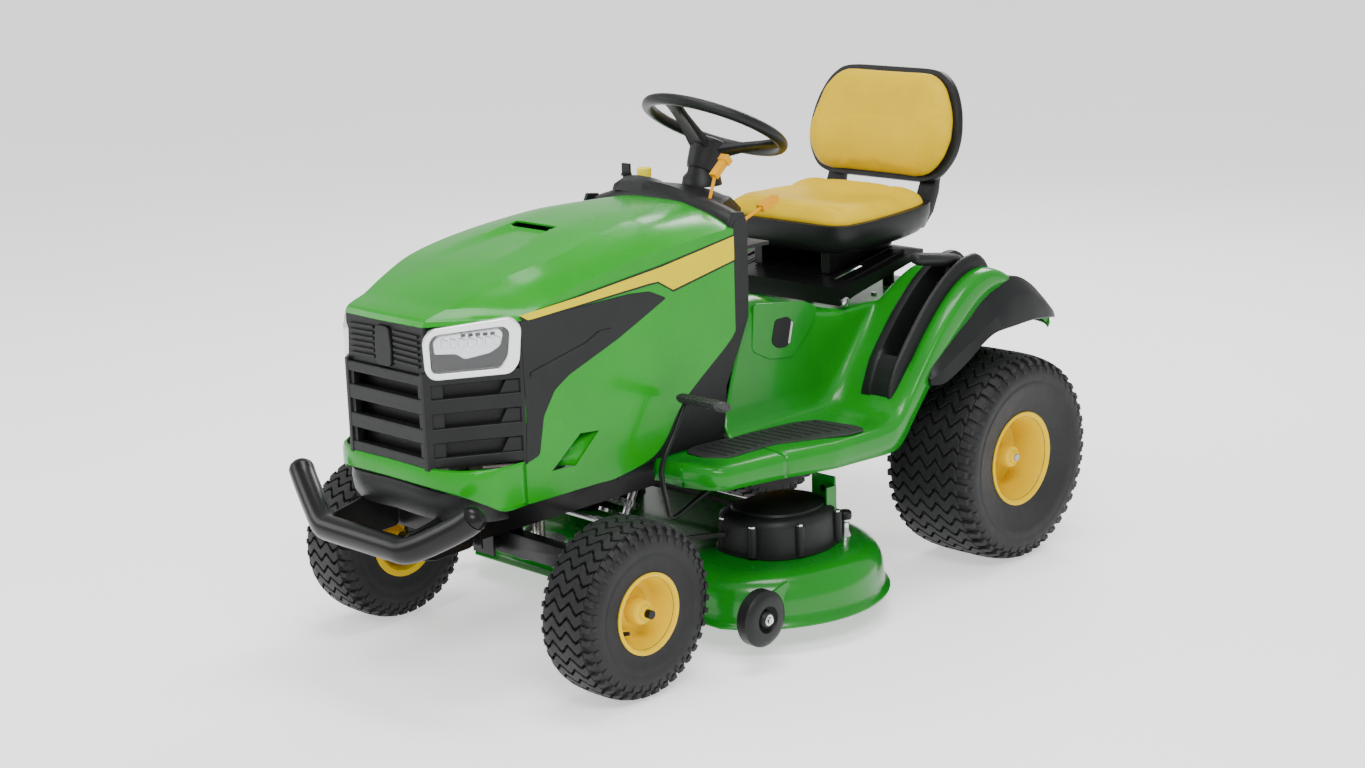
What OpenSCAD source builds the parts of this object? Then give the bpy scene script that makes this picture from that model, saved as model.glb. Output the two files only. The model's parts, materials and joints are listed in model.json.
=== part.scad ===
// Riding lawn mower with a rear drive axle, a mid-mounted cutting deck and a tilting hood.
// Millimetres. The vehicle faces -Y, its left side is +X, and the ground is z = 0.
// Every module is written about the vehicle's centreline and mid-wheelbase; at_origin() then
// moves it so that the row's origin is the bottom centre of the whole machine.

/* [Chassis] */
// Distance between the front and rear axles
wheelbase = 1240; // [1120:10:1400]
// Distance between the left and right tyre centres
track = 800; // [760:10:900]
// Outer width across the two frame rails
frame_w = 300; // [280:5:320]
// Sheet thickness of the frame rails
rail_t = 4; // [3:0.5:6]

/* [Wheels] */
// Outer diameter of a front tyre
front_tyre_d = 381; // [340:1:400]
// Width of a front tyre
front_tyre_w = 148; // [120:1:156]
// Outer diameter of a rear tyre
rear_tyre_d = 508; // [460:1:530]
// Width of a rear tyre
rear_tyre_w = 254; // [220:1:262]
// Radius of the wheel stub shafts
stub_r = 9.5; // [8:0.5:12]
// Diameter of a deck gauge wheel
gauge_d = 126; // [100:1:140]

/* [Body] */
// Half width of the hood at its rear edge
hood_half_w = 245; // [230:1:260]
// Wall of the moulded body panels
panel_t = 4; // [3:0.5:5]
// Height of the footrest's top face
footrest_z = 425; // [415:1:440]
// Half width across the footrests and the rear fenders
fender_half_w = 455; // [440:1:490]

/* [Seat] */
// Width of the seat cushion
seat_w = 460; // [400:5:480]
// Height of the hinge under the front of the seat
seat_hinge_z = 661; // [655:1:680]

/* [Cutting deck] */
// Width of the deck over its rim, without the chute
deck_w = 1120; // [1020:10:1160]
// Sheet thickness of the deck
deck_t = 4; // [3:0.5:5]
// Length of each cutting blade
blade_len = 500; // [460:5:520]

/* [Controls] */
// Outer diameter of the steering wheel
wheel_d = 355; // [320:5:380]
// Thickness of the steering wheel's rim
wheel_rim_d = 27; // [24:1:32]

/* [Clearances] */
// Radial running clearance of a turning fit
run_c = 0.05; // [0.02:0.01:0.1]
// Gap between faces that slide or turn past each other
side_gap = 2; // [1:0.5:4]
// Gap between parts that only sit together
seat_gap = 0.3; // [0.2:0.1:0.6]

/* [Hidden] */

$fn = 48;

// Axles and the frame
front_y = -wheelbase / 2;
rear_y = wheelbase / 2;
front_axle_z = front_tyre_d / 2;
rear_axle_z = rear_tyre_d / 2;
wheel_x = track / 2;
rail_z0 = 330;
rail_z1 = 400;
rail_x = frame_w / 2;
rail_flange = 36;
rail_front_y = front_y - 170;
rail_rear_y = rear_y + 80;
engine_y = front_y + 120;
crossbar_h = footrest_z - panel_t - rail_z1;
platform_bolt_r = 4;
engine_bolt_r = 4;

// Front axle: kingpins, pivot and steering arms
kingpin_x = wheel_x - 100;
kingpin_r = 10;
axle_pivot_z = 262;
axle_pivot_r = 10;
axle_boss_r = 22;
hanger_gap = 36;
bush_z0 = 222;
bush_z1 = 300;
arm_len = 90;
arm_z0 = bush_z1 + 14;

// Steering column, pinion and sector gear; the column leans back by column_tilt
wheel_centre = [0, 103, 1088];
column_tilt = 27.6;
wheel_hub_drop = 112;
shaft_r = 9;
gear_module = 4;
pinion_teeth = 9;
sector_teeth = 45;
pinion_pitch_r = gear_module * pinion_teeth / 2;
sector_pitch_r = gear_module * sector_teeth / 2;
shaft_len = 900;
column_dir = [0, sin(column_tilt), cos(column_tilt)];
column_back = [0, cos(column_tilt), -sin(column_tilt)];
pinion_at = wheel_centre - column_dir * shaft_len;
sector_at = pinion_at + column_back * (pinion_pitch_r + sector_pitch_r);
sector_arm_len = 73;
sector_arm_drop = 26;

// Seat
seat_half = seat_w / 2;
seat_base_half = 215;
seat_hinge_y = 300;

// Deck, seen from above: an outline of arcs round the two blade circles
deck_half = deck_w / 2;
blade_x = blade_len / 2 + 5;
blade_y = -60;
blade_z = 88;
deck_top_z = 168;
deck_skirt_z = 62;
deck_rim = 12;
deck_front = blade_y - blade_len / 2 - 22;
spindle_r = 12.5;
belt_z = 212;
pulley_r = 62;
gauge_x = deck_half - 47;
gauge_y = -330;
gauge_z = 112;
gauge_w = 44;
gauge_bolt_r = 6;
chute_hinge_y0 = -115;
chute_len = 210;

// The whole machine's ends, which set its origin
left_end = max(deck_half, wheel_x + rear_tyre_w / 2);
right_end = deck_half + chute_len - 60;
front_end = rail_front_y - 223;
rear_end = rear_y + 262;
origin_x = (right_end - left_end) / 2;
origin_y = -(front_end + rear_end) / 2;

module at_origin() {
    translate([origin_x, origin_y, 0]) children();
}

module both_sides() {
    children();
    mirror([1, 0, 0]) children();
}

// ---- Simple shapes that the sub-parts are made of ----

// A round bar between two points
module rod(p, q, r) {
    d = q - p;
    len = norm(d);
    translate(p)
        rotate([0, acos(d[2] / len), atan2(d[1], d[0])])
            cylinder(h = len, r = r, $fn = 12);
}

// A bent tube: bars along the points, with a ball in every bend
module bent_tube(points, r) {
    for (i = [0 : len(points) - 2])
        rod(points[i], points[i + 1], r);
    for (i = [1 : len(points) - 2])
        translate(points[i]) sphere(r = r * 1.04);
}

// A bar along X
module x_bar(r, x0, x1, y, z) {
    translate([x0, y, z]) rotate([0, 90, 0]) cylinder(h = x1 - x0, r = r);
}

// A plate whose outline is drawn in Y and Z, between two values of X
module side_plate(outline, x0, x1) {
    translate([x0, 0, 0])
        rotate([90, 0, 90]) linear_extrude(x1 - x0) polygon(outline);
}

// A plate whose outline is drawn in X and Z, between two values of Y
module front_plate(outline, y0, y1) {
    translate([0, y1, 0])
        rotate([90, 0, 0]) linear_extrude(y1 - y0) polygon(outline);
}

// A plate whose outline is drawn in X and Y, between two heights
module slab(outline, z0, z1) {
    translate([0, 0, z0]) linear_extrude(z1 - z0) polygon(outline);
}

// A box between two corners
module box(a, b) {
    translate(a) cube(b - a);
}

// A shape turned about an axle along X: the profile is a list of [x, radius]
module axle_turned(profile, centre) {
    translate(centre)
        rotate([0, 90, 0])
            rotate_extrude($fn = 96) polygon([for (p = profile) [p[1], p[0]]]);
}

// Whatever is drawn about the Z axis, set on the steering column's axis at a point
module on_column(at) {
    translate(at) rotate([-column_tilt, 0, 0]) children();
}

// A closed sheet between two grids of points, outer and inner, of the same size
module sheet(outer, inner) {
    rows = len(outer);
    cols = len(outer[0]);
    total = rows * cols;
    points = concat([for (r = outer) for (p = r) p], [for (r = inner) for (p = r) p]);
    function o(i, j) = i * cols + j;
    function n(i, j) = total + i * cols + j;
    outer_faces = [for (i = [0 : rows - 2]) for (j = [0 : cols - 2]) each
        [[o(i, j), o(i + 1, j), o(i + 1, j + 1)], [o(i, j), o(i + 1, j + 1), o(i, j + 1)]]];
    inner_faces = [for (i = [0 : rows - 2]) for (j = [0 : cols - 2]) each
        [[n(i, j), n(i + 1, j + 1), n(i + 1, j)], [n(i, j), n(i, j + 1), n(i + 1, j + 1)]]];
    row_ends = [for (j = [0 : cols - 2]) each [
        [o(0, j), o(0, j + 1), n(0, j + 1)], [o(0, j), n(0, j + 1), n(0, j)],
        [o(rows - 1, j), n(rows - 1, j), n(rows - 1, j + 1)],
        [o(rows - 1, j), n(rows - 1, j + 1), o(rows - 1, j + 1)]]];
    col_ends = [for (i = [0 : rows - 2]) each [
        [o(i, 0), n(i, 0), n(i + 1, 0)], [o(i, 0), n(i + 1, 0), o(i + 1, 0)],
        [o(i, cols - 1), o(i + 1, cols - 1), n(i + 1, cols - 1)],
        [o(i, cols - 1), n(i + 1, cols - 1), n(i, cols - 1)]]];
    polyhedron(points, concat(outer_faces, inner_faces, row_ends, col_ends));
}

// ---- Gears ----

function involute(base, t) = [
    base * (cos(t) + t * PI / 180 * sin(t)),
    base * (sin(t) - t * PI / 180 * cos(t)),
];
function involute_angle(base, r) = sqrt(pow(r / base, 2) - 1) * 180 / PI;
function turned(p, a) = [p[0] * cos(a) - p[1] * sin(a), p[0] * sin(a) + p[1] * cos(a)];

pressure_angle = 25;
tooth_slack = 0.8;

// One gear tooth about +X, from below its root to its tip
module tooth(teeth, addendum) {
    pitch = gear_module * teeth / 2;
    base = pitch * cos(pressure_angle);
    tip = pitch + addendum;
    root = pitch - gear_module * 1.2;
    start = max(root, base);
    t_pitch = involute_angle(base, pitch);
    at_pitch = involute(base, t_pitch);
    lead = atan2(at_pitch[1], at_pitch[0]) + 90 / teeth - tooth_slack / pitch * 90 / PI;
    t0 = involute_angle(base, start);
    t1 = involute_angle(base, tip);
    flank = [for (k = [0 : 4]) involute(base, t0 + (t1 - t0) * k / 4)];
    upper = [for (p = flank) turned([p[0], -p[1]], lead)];
    lower = [for (k = [4 : -1 : 0]) [upper[k][0], -upper[k][1]]];
    foot = root - 2;
    polygon(concat([[foot, -upper[0][1]]], [[foot, upper[0][1]]], upper, lower));
}

// ---- Chassis ----

module rail() {
    difference() {
        box([rail_x - rail_flange, rail_front_y, rail_z0], [rail_x, rail_rear_y, rail_z1]);
        box([rail_x - rail_flange - 1, rail_front_y - 1, rail_z0 + rail_t],
            [rail_x - rail_t, rail_rear_y + 1, rail_z1 - rail_t]);
    }
}

// A hat-section bar across both rails that carries the footrests
module footrest_bar(y) {
    reach = fender_half_w - 55;
    difference() {
        box([-reach, y - 20, rail_z1 - 0.5], [reach, y + 20, rail_z1 + crossbar_h]);
        box([-reach - 1, y - 16, rail_z1 - 1], [reach + 1, y + 16, rail_z1 + crossbar_h - rail_t]);
    }
}

hanger_y = hanger_gap + side_gap;
steer_plate_y0 = pinion_at[1] - 30;
steer_plate_y1 = sector_at[1] + 100;

module frame_rails() at_origin() color("#1c1d1f") {
    difference() {
        union() {
            both_sides() rail();
            // Front cross plate that carries the bumper
            box([-rail_x, rail_front_y - rail_t, rail_z0 - 20],
                [rail_x, rail_front_y + 0.5, rail_z1 + 30]);
            // Engine pan
            box([-rail_x + 1, front_y - 90, rail_z1 - rail_t], [rail_x - 1, engine_y + 170, rail_z1]);
            // Plate over the axle hangers
            box([-rail_x + 1, front_y - 60, rail_z0], [rail_x - 1, front_y + 60, rail_z0 + rail_t]);
            // Plate that holds the steering pivot
            box([-rail_x + 1, steer_plate_y0, rail_z0], [rail_x - 1, steer_plate_y1, rail_z0 + rail_t]);
            on_column(sector_at + column_dir * 40) cylinder(h = 70, r = 18);
            // Rear cross plate that carries the drawbar
            box([-rail_x, rail_rear_y - 0.5, 270], [rail_x, rail_rear_y + 6, rail_z1]);
            // Battery plate
            box([-rail_x + 1, 320, rail_z1 - rail_t], [rail_x - 1, 470, rail_z1]);
            footrest_bar(-140);
            footrest_bar(120);
            // Posts under the seat platform
            both_sides() {
                box([rail_x - rail_t, 262, rail_z1 - 0.5], [rail_x, 302, platform_z - panel_t - seat_gap]);
                box([rail_x - rail_t, 560, rail_z1 - 0.5], [rail_x, 600, platform_z - panel_t - seat_gap]);
                // Brackets down to the rear axle tubes
                side_plate([[rear_y - 46, rail_z0 + 1], [rear_y + 46, rail_z0 + 1],
                            [rear_y + 40, rear_axle_z - 40], [rear_y - 40, rear_axle_z - 40]],
                           rail_x - 6, rail_x);
            }
            // Front axle hangers
            for (s = [-1, 1]) {
                y0 = front_y + s * hanger_y;
                y1 = front_y + s * (hanger_y + 6);
                box([-34, min(y0, y1), axle_pivot_z - 26], [34, max(y0, y1), rail_z0 + 1]);
            }
        }
        // Holes for the crankshaft, the steering pivot and the steering shaft
        translate([0, engine_y, rail_z1 - 10]) cylinder(h = 20, r = 40);
        on_column(sector_at) cylinder(h = 220, r = 10 + run_c);
        on_column(pinion_at) cylinder(h = 120, r = shaft_r + 3);
        // The rear tubes pass through their brackets
        both_sides() x_bar(32 + seat_gap, rail_x - 10, rail_x + 10, rear_y, rear_axle_z);
    }
    // Axle pivot pin
    translate([0, front_y + hanger_y + 6, axle_pivot_z])
        rotate([90, 0, 0]) cylinder(h = 2 * hanger_y + 12, r = axle_pivot_r);
}

bumper_y = rail_front_y - 195;
bumper_r = 28;

module front_bumper() at_origin() color("#101112") {
    bent_tube([[-275, bumper_y + 55, 422], [-122, bumper_y, 352], [122, bumper_y, 352],
               [275, bumper_y + 55, 422]], bumper_r);
    both_sides() {
        translate([275, bumper_y + 55, 422]) sphere(r = bumper_r * 1.04);
        side_plate([[rail_front_y - rail_t, rail_z0 - 15], [rail_front_y - rail_t, rail_z1 + 25],
                    [bumper_y + 6, 376], [bumper_y + 2, 332]], 126, 132);
        box([126, rail_front_y - rail_t - 6, rail_z0 - 15],
            [150, rail_front_y - rail_t, rail_z1 + 25]);
    }
}

valance_front = rail_front_y - 104;

function valance_point(p, d) = [p[0] * (1 - d / 228) * hood_spread, p[1] + valance_front + 894 + d];

module front_valance() at_origin() color("#222324") {
    outline = [[-228, -800], [-190, -862], [-100, -894], [100, -894], [190, -862], [228, -800]];
    outer = [for (p = outline) valance_point(p, 0)];
    inner = [for (i = [5 : -1 : 0]) valance_point(outline[i], panel_t)];
    difference() {
        union() {
            slab(concat(outer, inner), 385, 458);
            slab([for (p = outline) valance_point(p, 1)], 380, 384.5 + 1);
            both_sides() box([rail_x, rail_front_y - 18, 380],
                             [222 * hood_spread, rail_front_y + 10, 386]);
        }
        both_sides() box([116, valance_front - 10, 378], [160, rail_front_y + 20, 408]);
    }
}

module drawbar() at_origin() color("#1c1d1f") {
    y0 = rail_rear_y + 6;
    difference() {
        union() {
            box([-45, y0, 276], [45, y0 + 90, 284]);
            box([-45, y0, 276], [45, y0 + 8, 340]);
        }
        translate([0, y0 + 68, 270]) cylinder(h = 20, r = 9.5);
    }
}

module hex_bolt(at, r, len) {
    translate(at) {
        cylinder(h = r * 1.2, r = r * 1.9, $fn = 6);
        translate([0, 0, -len]) cylinder(h = len + 0.01, r = r);
    }
}

module fasteners() at_origin() color("#c0c2c4") {
    // Engine bolts down into the pan
    for (x = [-120, 120]) for (y = [-70, 110])
        hex_bolt([x, engine_y + y, rail_z1 + 12 + seat_gap], engine_bolt_r, 11);
    // Seat platform bolts
    for (x = [-170, 170]) for (y = [470, 560])
        hex_bolt([x, y, platform_z + seat_gap], platform_bolt_r, 12);
    // Seat hinge pins
    both_sides() x_bar(seat_pin_r, seat_base_half - 8, pod_half + 4, seat_hinge_y, seat_hinge_z);
    // Drawbar bolts
    for (x = [-28, 28])
        translate([x, rail_rear_y + 14.3, 322]) rotate([-90, 0, 0]) cylinder(h = 6, r = 9, $fn = 6);
}

// ---- Engine bay ----

engine_h = 125;
head_z = rail_z1 + 75;
head_half = 50;
head_reach = 218;
head_turn = 40;

module engine_block() at_origin() color("#6d6f72") {
    translate([0, engine_y, rail_z1 + seat_gap]) {
        cylinder(h = engine_h, r = 118);
        difference() {
            translate([-136, -86, 0]) cube([272, 212, 12]);
            for (x = [-120, 120]) for (y = [-70, 110])
                translate([x, y, -1]) cylinder(h = 20, r = engine_bolt_r + run_c);
        }
    }
    // Two finned cylinders that point forward and outward
    for (s = [-1, 1]) translate([0, engine_y, head_z]) rotate([0, 0, -90 + s * head_turn]) {
        rotate([0, 90, 0]) cylinder(h = 205, r = 42);
        for (k = [0 : 6])
            translate([122 + k * 11, 0, 0]) rotate([0, 90, 0]) cylinder(h = 4, r = head_half);
        translate([head_reach - 22, -head_half, -head_half]) cube([22, 2 * head_half, 2 * head_half]);
    }
}

module blower_housing() at_origin() color("#151617") {
    translate([0, engine_y, rail_z1 + engine_h + 2 * seat_gap]) {
        difference() {
            union() {
                cylinder(h = 120, r = 152);
                translate([-120, -205, 0]) cube([240, 120, 78]);
                translate([-90, 90, 20]) cube([180, 110, 95]);
            }
            translate([0, 0, -1]) cylinder(h = 100, r = 140);
            translate([-112, -198, -1]) cube([224, 100, 70]);
        }
        translate([0, 0, 121]) for (k = [0 : 5])
            difference() {
                cylinder(h = 6, r = 130 - k * 20);
                translate([0, 0, -1]) cylinder(h = 8, r = 122 - k * 20);
            }
        translate([-134, -5, 119]) cube([268, 10, 4]);
    }
}

// The muffler lies in front of the engine on two exhaust pipes, one from each cylinder head
module muffler() at_origin() color("#4a4a4a") {
    y = front_y - 178;
    z = rail_z1 + 84;
    out = [sin(head_turn), -cos(head_turn), 0];
    port = [0, engine_y, head_z] + out * (head_reach + seat_gap);
    x_bar(46, -120, 120, y, z);
    both_sides() bent_tube([port, port + out * 22, [96, y + 30, z]], 13);
    // Outlet
    rod([96, y, z], [144, y - 4, z - 34], 13);
}

module battery() at_origin() color("#202020") {
    box([-98, 330, rail_z1 + seat_gap], [98, 460, rail_z1 + 155]);
    for (x = [-75, 75]) translate([x, 350, rail_z1 + 154]) cylinder(h = 16, r = 8);
}

module fuel_tank() at_origin() color("#d8d6cc") {
    difference() {
        box([-135, 480, rail_z1 + seat_gap], [135, 690, 585]);
        box([-131, 484, rail_z1 + seat_gap + 4], [131, 686, 581]);
        translate([-95, 640, 570]) cylinder(h = 30, r = 20);
    }
    translate([-95, 640, 581]) difference() {
        cylinder(h = 46, r = 24);
        translate([0, 0, -1]) cylinder(h = 60, r = 20);
    }
}

module fuel_cap() at_origin() color("#141414") {
    translate([-95, 640, 628 + seat_gap]) {
        cylinder(h = 20, r = 33);
        for (a = [0 : 30 : 330]) rotate([0, 0, a]) translate([32, 0, 0]) cylinder(h = 18, r = 4);
        translate([0, 0, -14]) cylinder(h = 15, r = 19);
    }
}

// ---- Rear bodywork ----

pod_half = 225;
pod_front_y = -62;
platform_z = 645;

// The moulded fender body: seat pod, footrests and the arches over the rear tyres
module fender_body() at_origin() color("#1f9a3b") {
    t = panel_t;
    out = fender_half_w;
    // Seat pod walls and platform
    difference() {
        side_plate([[pod_front_y - 90, footrest_z - t], [pod_front_y + 15, platform_z + 70],
                    [250, platform_z], [rear_y + 90, platform_z], [rear_y + 185, 540],
                    [rear_y + 185, footrest_z - t]], -pod_half, pod_half);
        side_plate([[pod_front_y - 84, footrest_z - t - 1], [pod_front_y + 17, platform_z + 63],
                    [249, platform_z - t], [rear_y + 88, platform_z - t], [rear_y + 181, 538],
                    [rear_y + 181, footrest_z - t - 1]], -pod_half + t, pod_half - t);
        // Well in front of the pod for the dash pedestal
        box([-pod_half + 30, pod_front_y - 100, footrest_z - t - 1],
            [pod_half - 30, pod_front_y + 30, 800]);
        // Filler neck and the seat's tool tray
        translate([-95, 640, 600]) cylinder(h = 80, r = 41);
        for (x = [-170, 170]) for (y = [470, 560])
            translate([x, y, platform_z - 20]) cylinder(h = 40, r = platform_bolt_r + run_c);
    }
    // Ears for the seat's hinge pins
    both_sides() difference() {
        box([seat_base_half + side_gap, seat_hinge_y - 14, platform_z - 3],
            [pod_half, seat_hinge_y + 14, seat_hinge_z + 14]);
        x_bar(seat_pin_r + seat_gap, pod_half - 20, pod_half + 10, seat_hinge_y, seat_hinge_z);
    }
    // Footrests, each with a turned-down lip
    both_sides() {
        foot = [[pod_half, -150], [dash_half + 1, -150], [dash_half + 1, -345], [330, -365],
                [out - 40, -320], [out - 25, -170], [out + 10, -20], [out + 15, 190], [out, 250],
                [200, 250]];
        slab(foot, footrest_z - t, footrest_z);
        lip_in = [[dash_half + 5, -339], [328, -360], [out - 44, -317], [out - 29, -169],
                  [out + 6, -19], [out + 11, 190], [out - 4, 250], [196, 250]];
        difference() {
            slab(foot, footrest_z - 52, footrest_z - t + 0.5);
            slab(lip_in, footrest_z - 60, footrest_z);
            box([190, -330, footrest_z - 60], [dash_half + 6, 260, footrest_z - t - 0.5]);
        }
    }
    // Arch over each rear tyre, from the footrest up and over to the rear
    arch_out = [[249, footrest_z - 40], [300, 520], [400, 640], [500, 716], [585, 728], [640, 700],
                [rear_y + 90, 640], [rear_y + 185, 560]];
    arch_in = [[rear_y + 185, 556], [rear_y + 90, 636], [638, 696], [584, 724], [502, 712],
               [403, 637], [304, 518], [253, footrest_z - 40]];
    difference() {
        both_sides() side_plate(concat(arch_out, arch_in), pod_half - 2, out);
        // Slot under the console for the lift lever
        box([lift_x - lift_slot_half, 300, 450], [lift_x + lift_slot_half, 590, 800]);
    }
    both_sides() {
        // Inner face of the arch, closing it against the pod above the platform
        side_plate([[300, platform_z - 30], [400, 640], [500, 714], [585, 726], [640, 698],
                    [rear_y + 90, 638], [rear_y + 80, platform_z - 30]], pod_half - 3, pod_half + 1);
        // Turned-down outer edge
        side_plate([[249, footrest_z - 40], [300, 520], [400, 640], [500, 716], [585, 728],
                    [640, 700], [rear_y + 90, 640], [rear_y + 185, 560], [rear_y + 185, 530],
                    [rear_y + 84, 604], [626, 662], [580, 684], [516, 674], [434, 616],
                    [338, 506], [275, footrest_z - 40]], out - t, out);
    }
}

module foot_mats() at_origin() color("#17181a") {
    mat = [[236, -320], [330, -335], [fender_half_w - 70, -300], [fender_half_w - 55, -170],
           [fender_half_w - 20, -20], [fender_half_w - 15, 150], [300, 110], [262, 40], [236, -100]];
    both_sides() slab(mat, footrest_z, footrest_z + 4);
}

module rear_trim() at_origin() color("#1a1b1c") {
    // Fender extensions beyond the green arches, and the rear bumper between them
    out = fender_half_w;
    both_sides() {
        side_plate([[366, 483], [470, 600], [560, 660], [640, 680], [rear_y + 140, 620],
                    [rear_y + 262, 585], [rear_y + 262, 560], [rear_y + 130, 560], [640, 645],
                    [570, 620], [490, 570], [385, 470]], out + seat_gap, out + 22);
        side_plate([[rear_y + 185.4, 575], [rear_y + 262, 585], [rear_y + 262, 560],
                    [rear_y + 185.4, 540]], pod_half - 20, out + 1);
    }
    box([-pod_half + 25, rear_y + 185.4, 470], [pod_half - 25, rear_y + 205, 600]);
    box([-pod_half + 20, rear_y + 185.4, 540], [pod_half - 20, rear_y + 240, 570]);
    box([-pod_half, rear_y + 200, 540], [pod_half, rear_y + 240, 566]);
}

lift_x = 372;
lift_pivot = [lift_x, 470, 560];
lift_arm = [0, 36, 188];
lift_grip_r = 19;
lift_slot_half = lift_grip_r + 4;

// The black console on the left fender, with a slot that the lift lever moves in
module lift_console() at_origin() color("#141516") {
    top = [[262, 468], [310, 545], [400, 652], [500, 734], [600, 740]];
    base = [[600, 733], [500, 721], [399, 644], [299, 524], [254, 452]];
    difference() {
        side_plate(concat(top, base), lift_x - 62, lift_x + 42);
        side_plate([[278, 400], [318, 540], [404, 660], [500, 760], [590, 790], [590, 700], [480, 600]],
                   lift_x - lift_slot_half, lift_x + lift_slot_half);
    }
}

// ---- Dash ----

dash_half = 232;

module dash_pedestal() at_origin() color("#1b1c1d") {
    edge = [[-66, 900], [-96, 900], [-96, 690], [-130, 640], [-262, 545], [-340, 445],
            [-470, 406], [-470, 401], [-164, 401], [-164, footrest_z + 2]];
    back = [[-150, 545], [-60, 720]];
    difference() {
        side_plate(concat(edge, [[-150, footrest_z + 60]], back), -dash_half, dash_half);
        side_plate([[-70, 1000], [-200, 1000], [-200, 640], [-500, 500], [-500, 380], [-170, 380],
                    [-170, footrest_z + 2], [-156, footrest_z + 60], [-158, 548], [-68, 722]],
                   -dash_half + 4, dash_half - 4);
        on_column(pinion_at) cylinder(h = shaft_len, r = shaft_r + 4);
    }
    // Bush round the steering shaft, on a bridge across the pedestal
    difference() {
        union() {
            on_column(wheel_centre - column_dir * 272) cylinder(h = 58, r = 22);
            box([-dash_half + 2, -90, 842], [dash_half - 2, 30, 850]);
        }
        on_column(wheel_centre - column_dir * 300) cylinder(h = 140, r = shaft_r + run_c);
    }
}

module dash_panel() at_origin() color("#1e1f20") {
    difference() {
        side_plate([[-97, 905], [-97, 950], [-60, 972], [40, 968], [68, 900], [58, 852],
                    [40, 850.5], [-62, 850.5], [-66, 900.5]], -dash_half - 6, dash_half + 6);
        side_plate([[-92, 908], [-92, 946], [-58, 966], [36, 962], [62, 900], [50, 840],
                    [-64, 840], [-72, 890]], -dash_half - 1, dash_half + 1);
        on_column(wheel_centre - column_dir * 280) cylinder(h = 220, r = 24);
        // Slots and holes for the controls
        box([lever_x - 7, -85, 940], [lever_x + 7, 25, 990]);
        box([park_x - 7, 30, 872], [park_x + 7, 90, 945]);
        translate([pto_at[0], pto_at[1], 900]) cylinder(h = 90, r = 8 + run_c);
        translate([key_at[0], key_at[1], 900]) cylinder(h = 90, r = 9 + run_c);
    }
}

lever_x = 120;
park_x = 165;
pto_at = [-110, -25, 969];
key_at = [-170, -25, 969];

throttle_pivot = [lever_x, -60, 905];

module throttle_lever() at_origin() color("#e88a1a") {
    rod(throttle_pivot, [lever_x, -25, 1000], 4);
    translate([lever_x, -25, 1000]) rotate([-50, 0, 0]) {
        translate([-9, -8, -8]) cube([18, 16, 50]);
        translate([-12, -11, 36]) cube([24, 22, 16]);
    }
    x_bar(6, lever_x - 9, lever_x + 9, throttle_pivot[1], throttle_pivot[2]);
}

module park_brake_lever() at_origin() color("#e88a1a") {
    rod([park_x, 10, 890], [park_x, 92, 918], 4);
    translate([park_x - 11, 76, 904]) rotate([18, 0, 0]) cube([22, 56, 16]);
    x_bar(7, park_x - 10, park_x + 10, 10, 890);
}

module pto_knob() at_origin() color("#f2d21b") {
    translate([pto_at[0], pto_at[1], 0]) {
        translate([0, 0, 930]) cylinder(h = 46, r = 8);
        translate([0, 0, 974]) cylinder(h = 22, r = 17);
        translate([0, 0, 925]) cylinder(h = 6, r = 12);
    }
}

module ignition_key() at_origin() color("#3a3a3c") {
    translate([key_at[0], key_at[1], 0]) {
        translate([0, 0, 935]) cylinder(h = 38, r = 9);
        translate([0, 0, 972.4]) cylinder(h = 5, r = 13);
        translate([-13, -3, 977]) cube([26, 6, 24]);
    }
}

// ---- Steering ----

module steering_wheel() at_origin() color("#18191a") {
    hub_z = -wheel_hub_drop;
    spoke_r = wheel_d / 2 - wheel_rim_d / 2;
    on_column(wheel_centre) {
        rotate_extrude($fn = 96) translate([spoke_r, 0]) circle(d = wheel_rim_d, $fn = 24);
        difference() {
            union() {
                translate([0, 0, hub_z]) cylinder(h = 78, r1 = 34, r2 = 46);
                for (a = [-90, 30, 150]) rotate([0, 0, a])
                    side_spoke(spoke_r, hub_z);
            }
            translate([0, 0, hub_z - 1]) cylinder(h = 60, r = shaft_r + seat_gap);
        }
    }
}

// A spoke that rises from the hub to the rim
module side_spoke(reach, hub_z) {
    rotate([90, 0, 0]) translate([0, 0, -19])
        linear_extrude(38)
            polygon([[26, hub_z + 30], [26, hub_z + 74], [95, -22], [reach - 6, 8],
                     [reach + 2, -6], [reach - 60, -26], [95, -60]]);
}

module steering_shaft() at_origin() color("#8a8c90") {
    on_column(pinion_at) {
        translate([0, 0, -12]) cylinder(h = shaft_len - 60, r = shaft_r);
        translate([0, 0, -10]) linear_extrude(20) {
            circle(r = pinion_pitch_r - gear_module * 1.2, $fn = 40);
            for (k = [0 : pinion_teeth - 1])
                rotate(90 + 360 / pinion_teeth * (k + 0.5)) tooth(pinion_teeth, gear_module * 0.9);
        }
    }
}

module sector_gear() at_origin() color("#7a7c80") {
    on_column(sector_at) {
        translate([0, 0, -7]) linear_extrude(14) difference() {
            union() {
                intersection() {
                    circle(r = sector_pitch_r - gear_module * 1.2, $fn = 120);
                    polygon([[0, 20], [-120, -120], [120, -120]]);
                }
                circle(r = 24);
                for (k = [-6 : 6])
                    rotate(-90 + 360 / sector_teeth * k) tooth(sector_teeth, gear_module * 0.7);
            }
            translate([0, -46]) circle(r = 13);
        }
        // Pivot shaft and the arm that pushes the links
        translate([0, 0, -sector_arm_drop - 10]) cylinder(h = sector_arm_drop + 132, r = 10);
        translate([-14, -sector_arm_len, -sector_arm_drop - 8]) cube([28, sector_arm_len, 8]);
        translate([0, -sector_arm_len, -sector_arm_drop - 8]) cylinder(h = 8, r = 14);
        translate([0, 0, -sector_arm_drop - 10]) cylinder(h = 12, r = 18);
    }
}

sector_arm_end = sector_at - column_dir * (sector_arm_drop + 8) - column_back * sector_arm_len;
link_r = 7;

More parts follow.
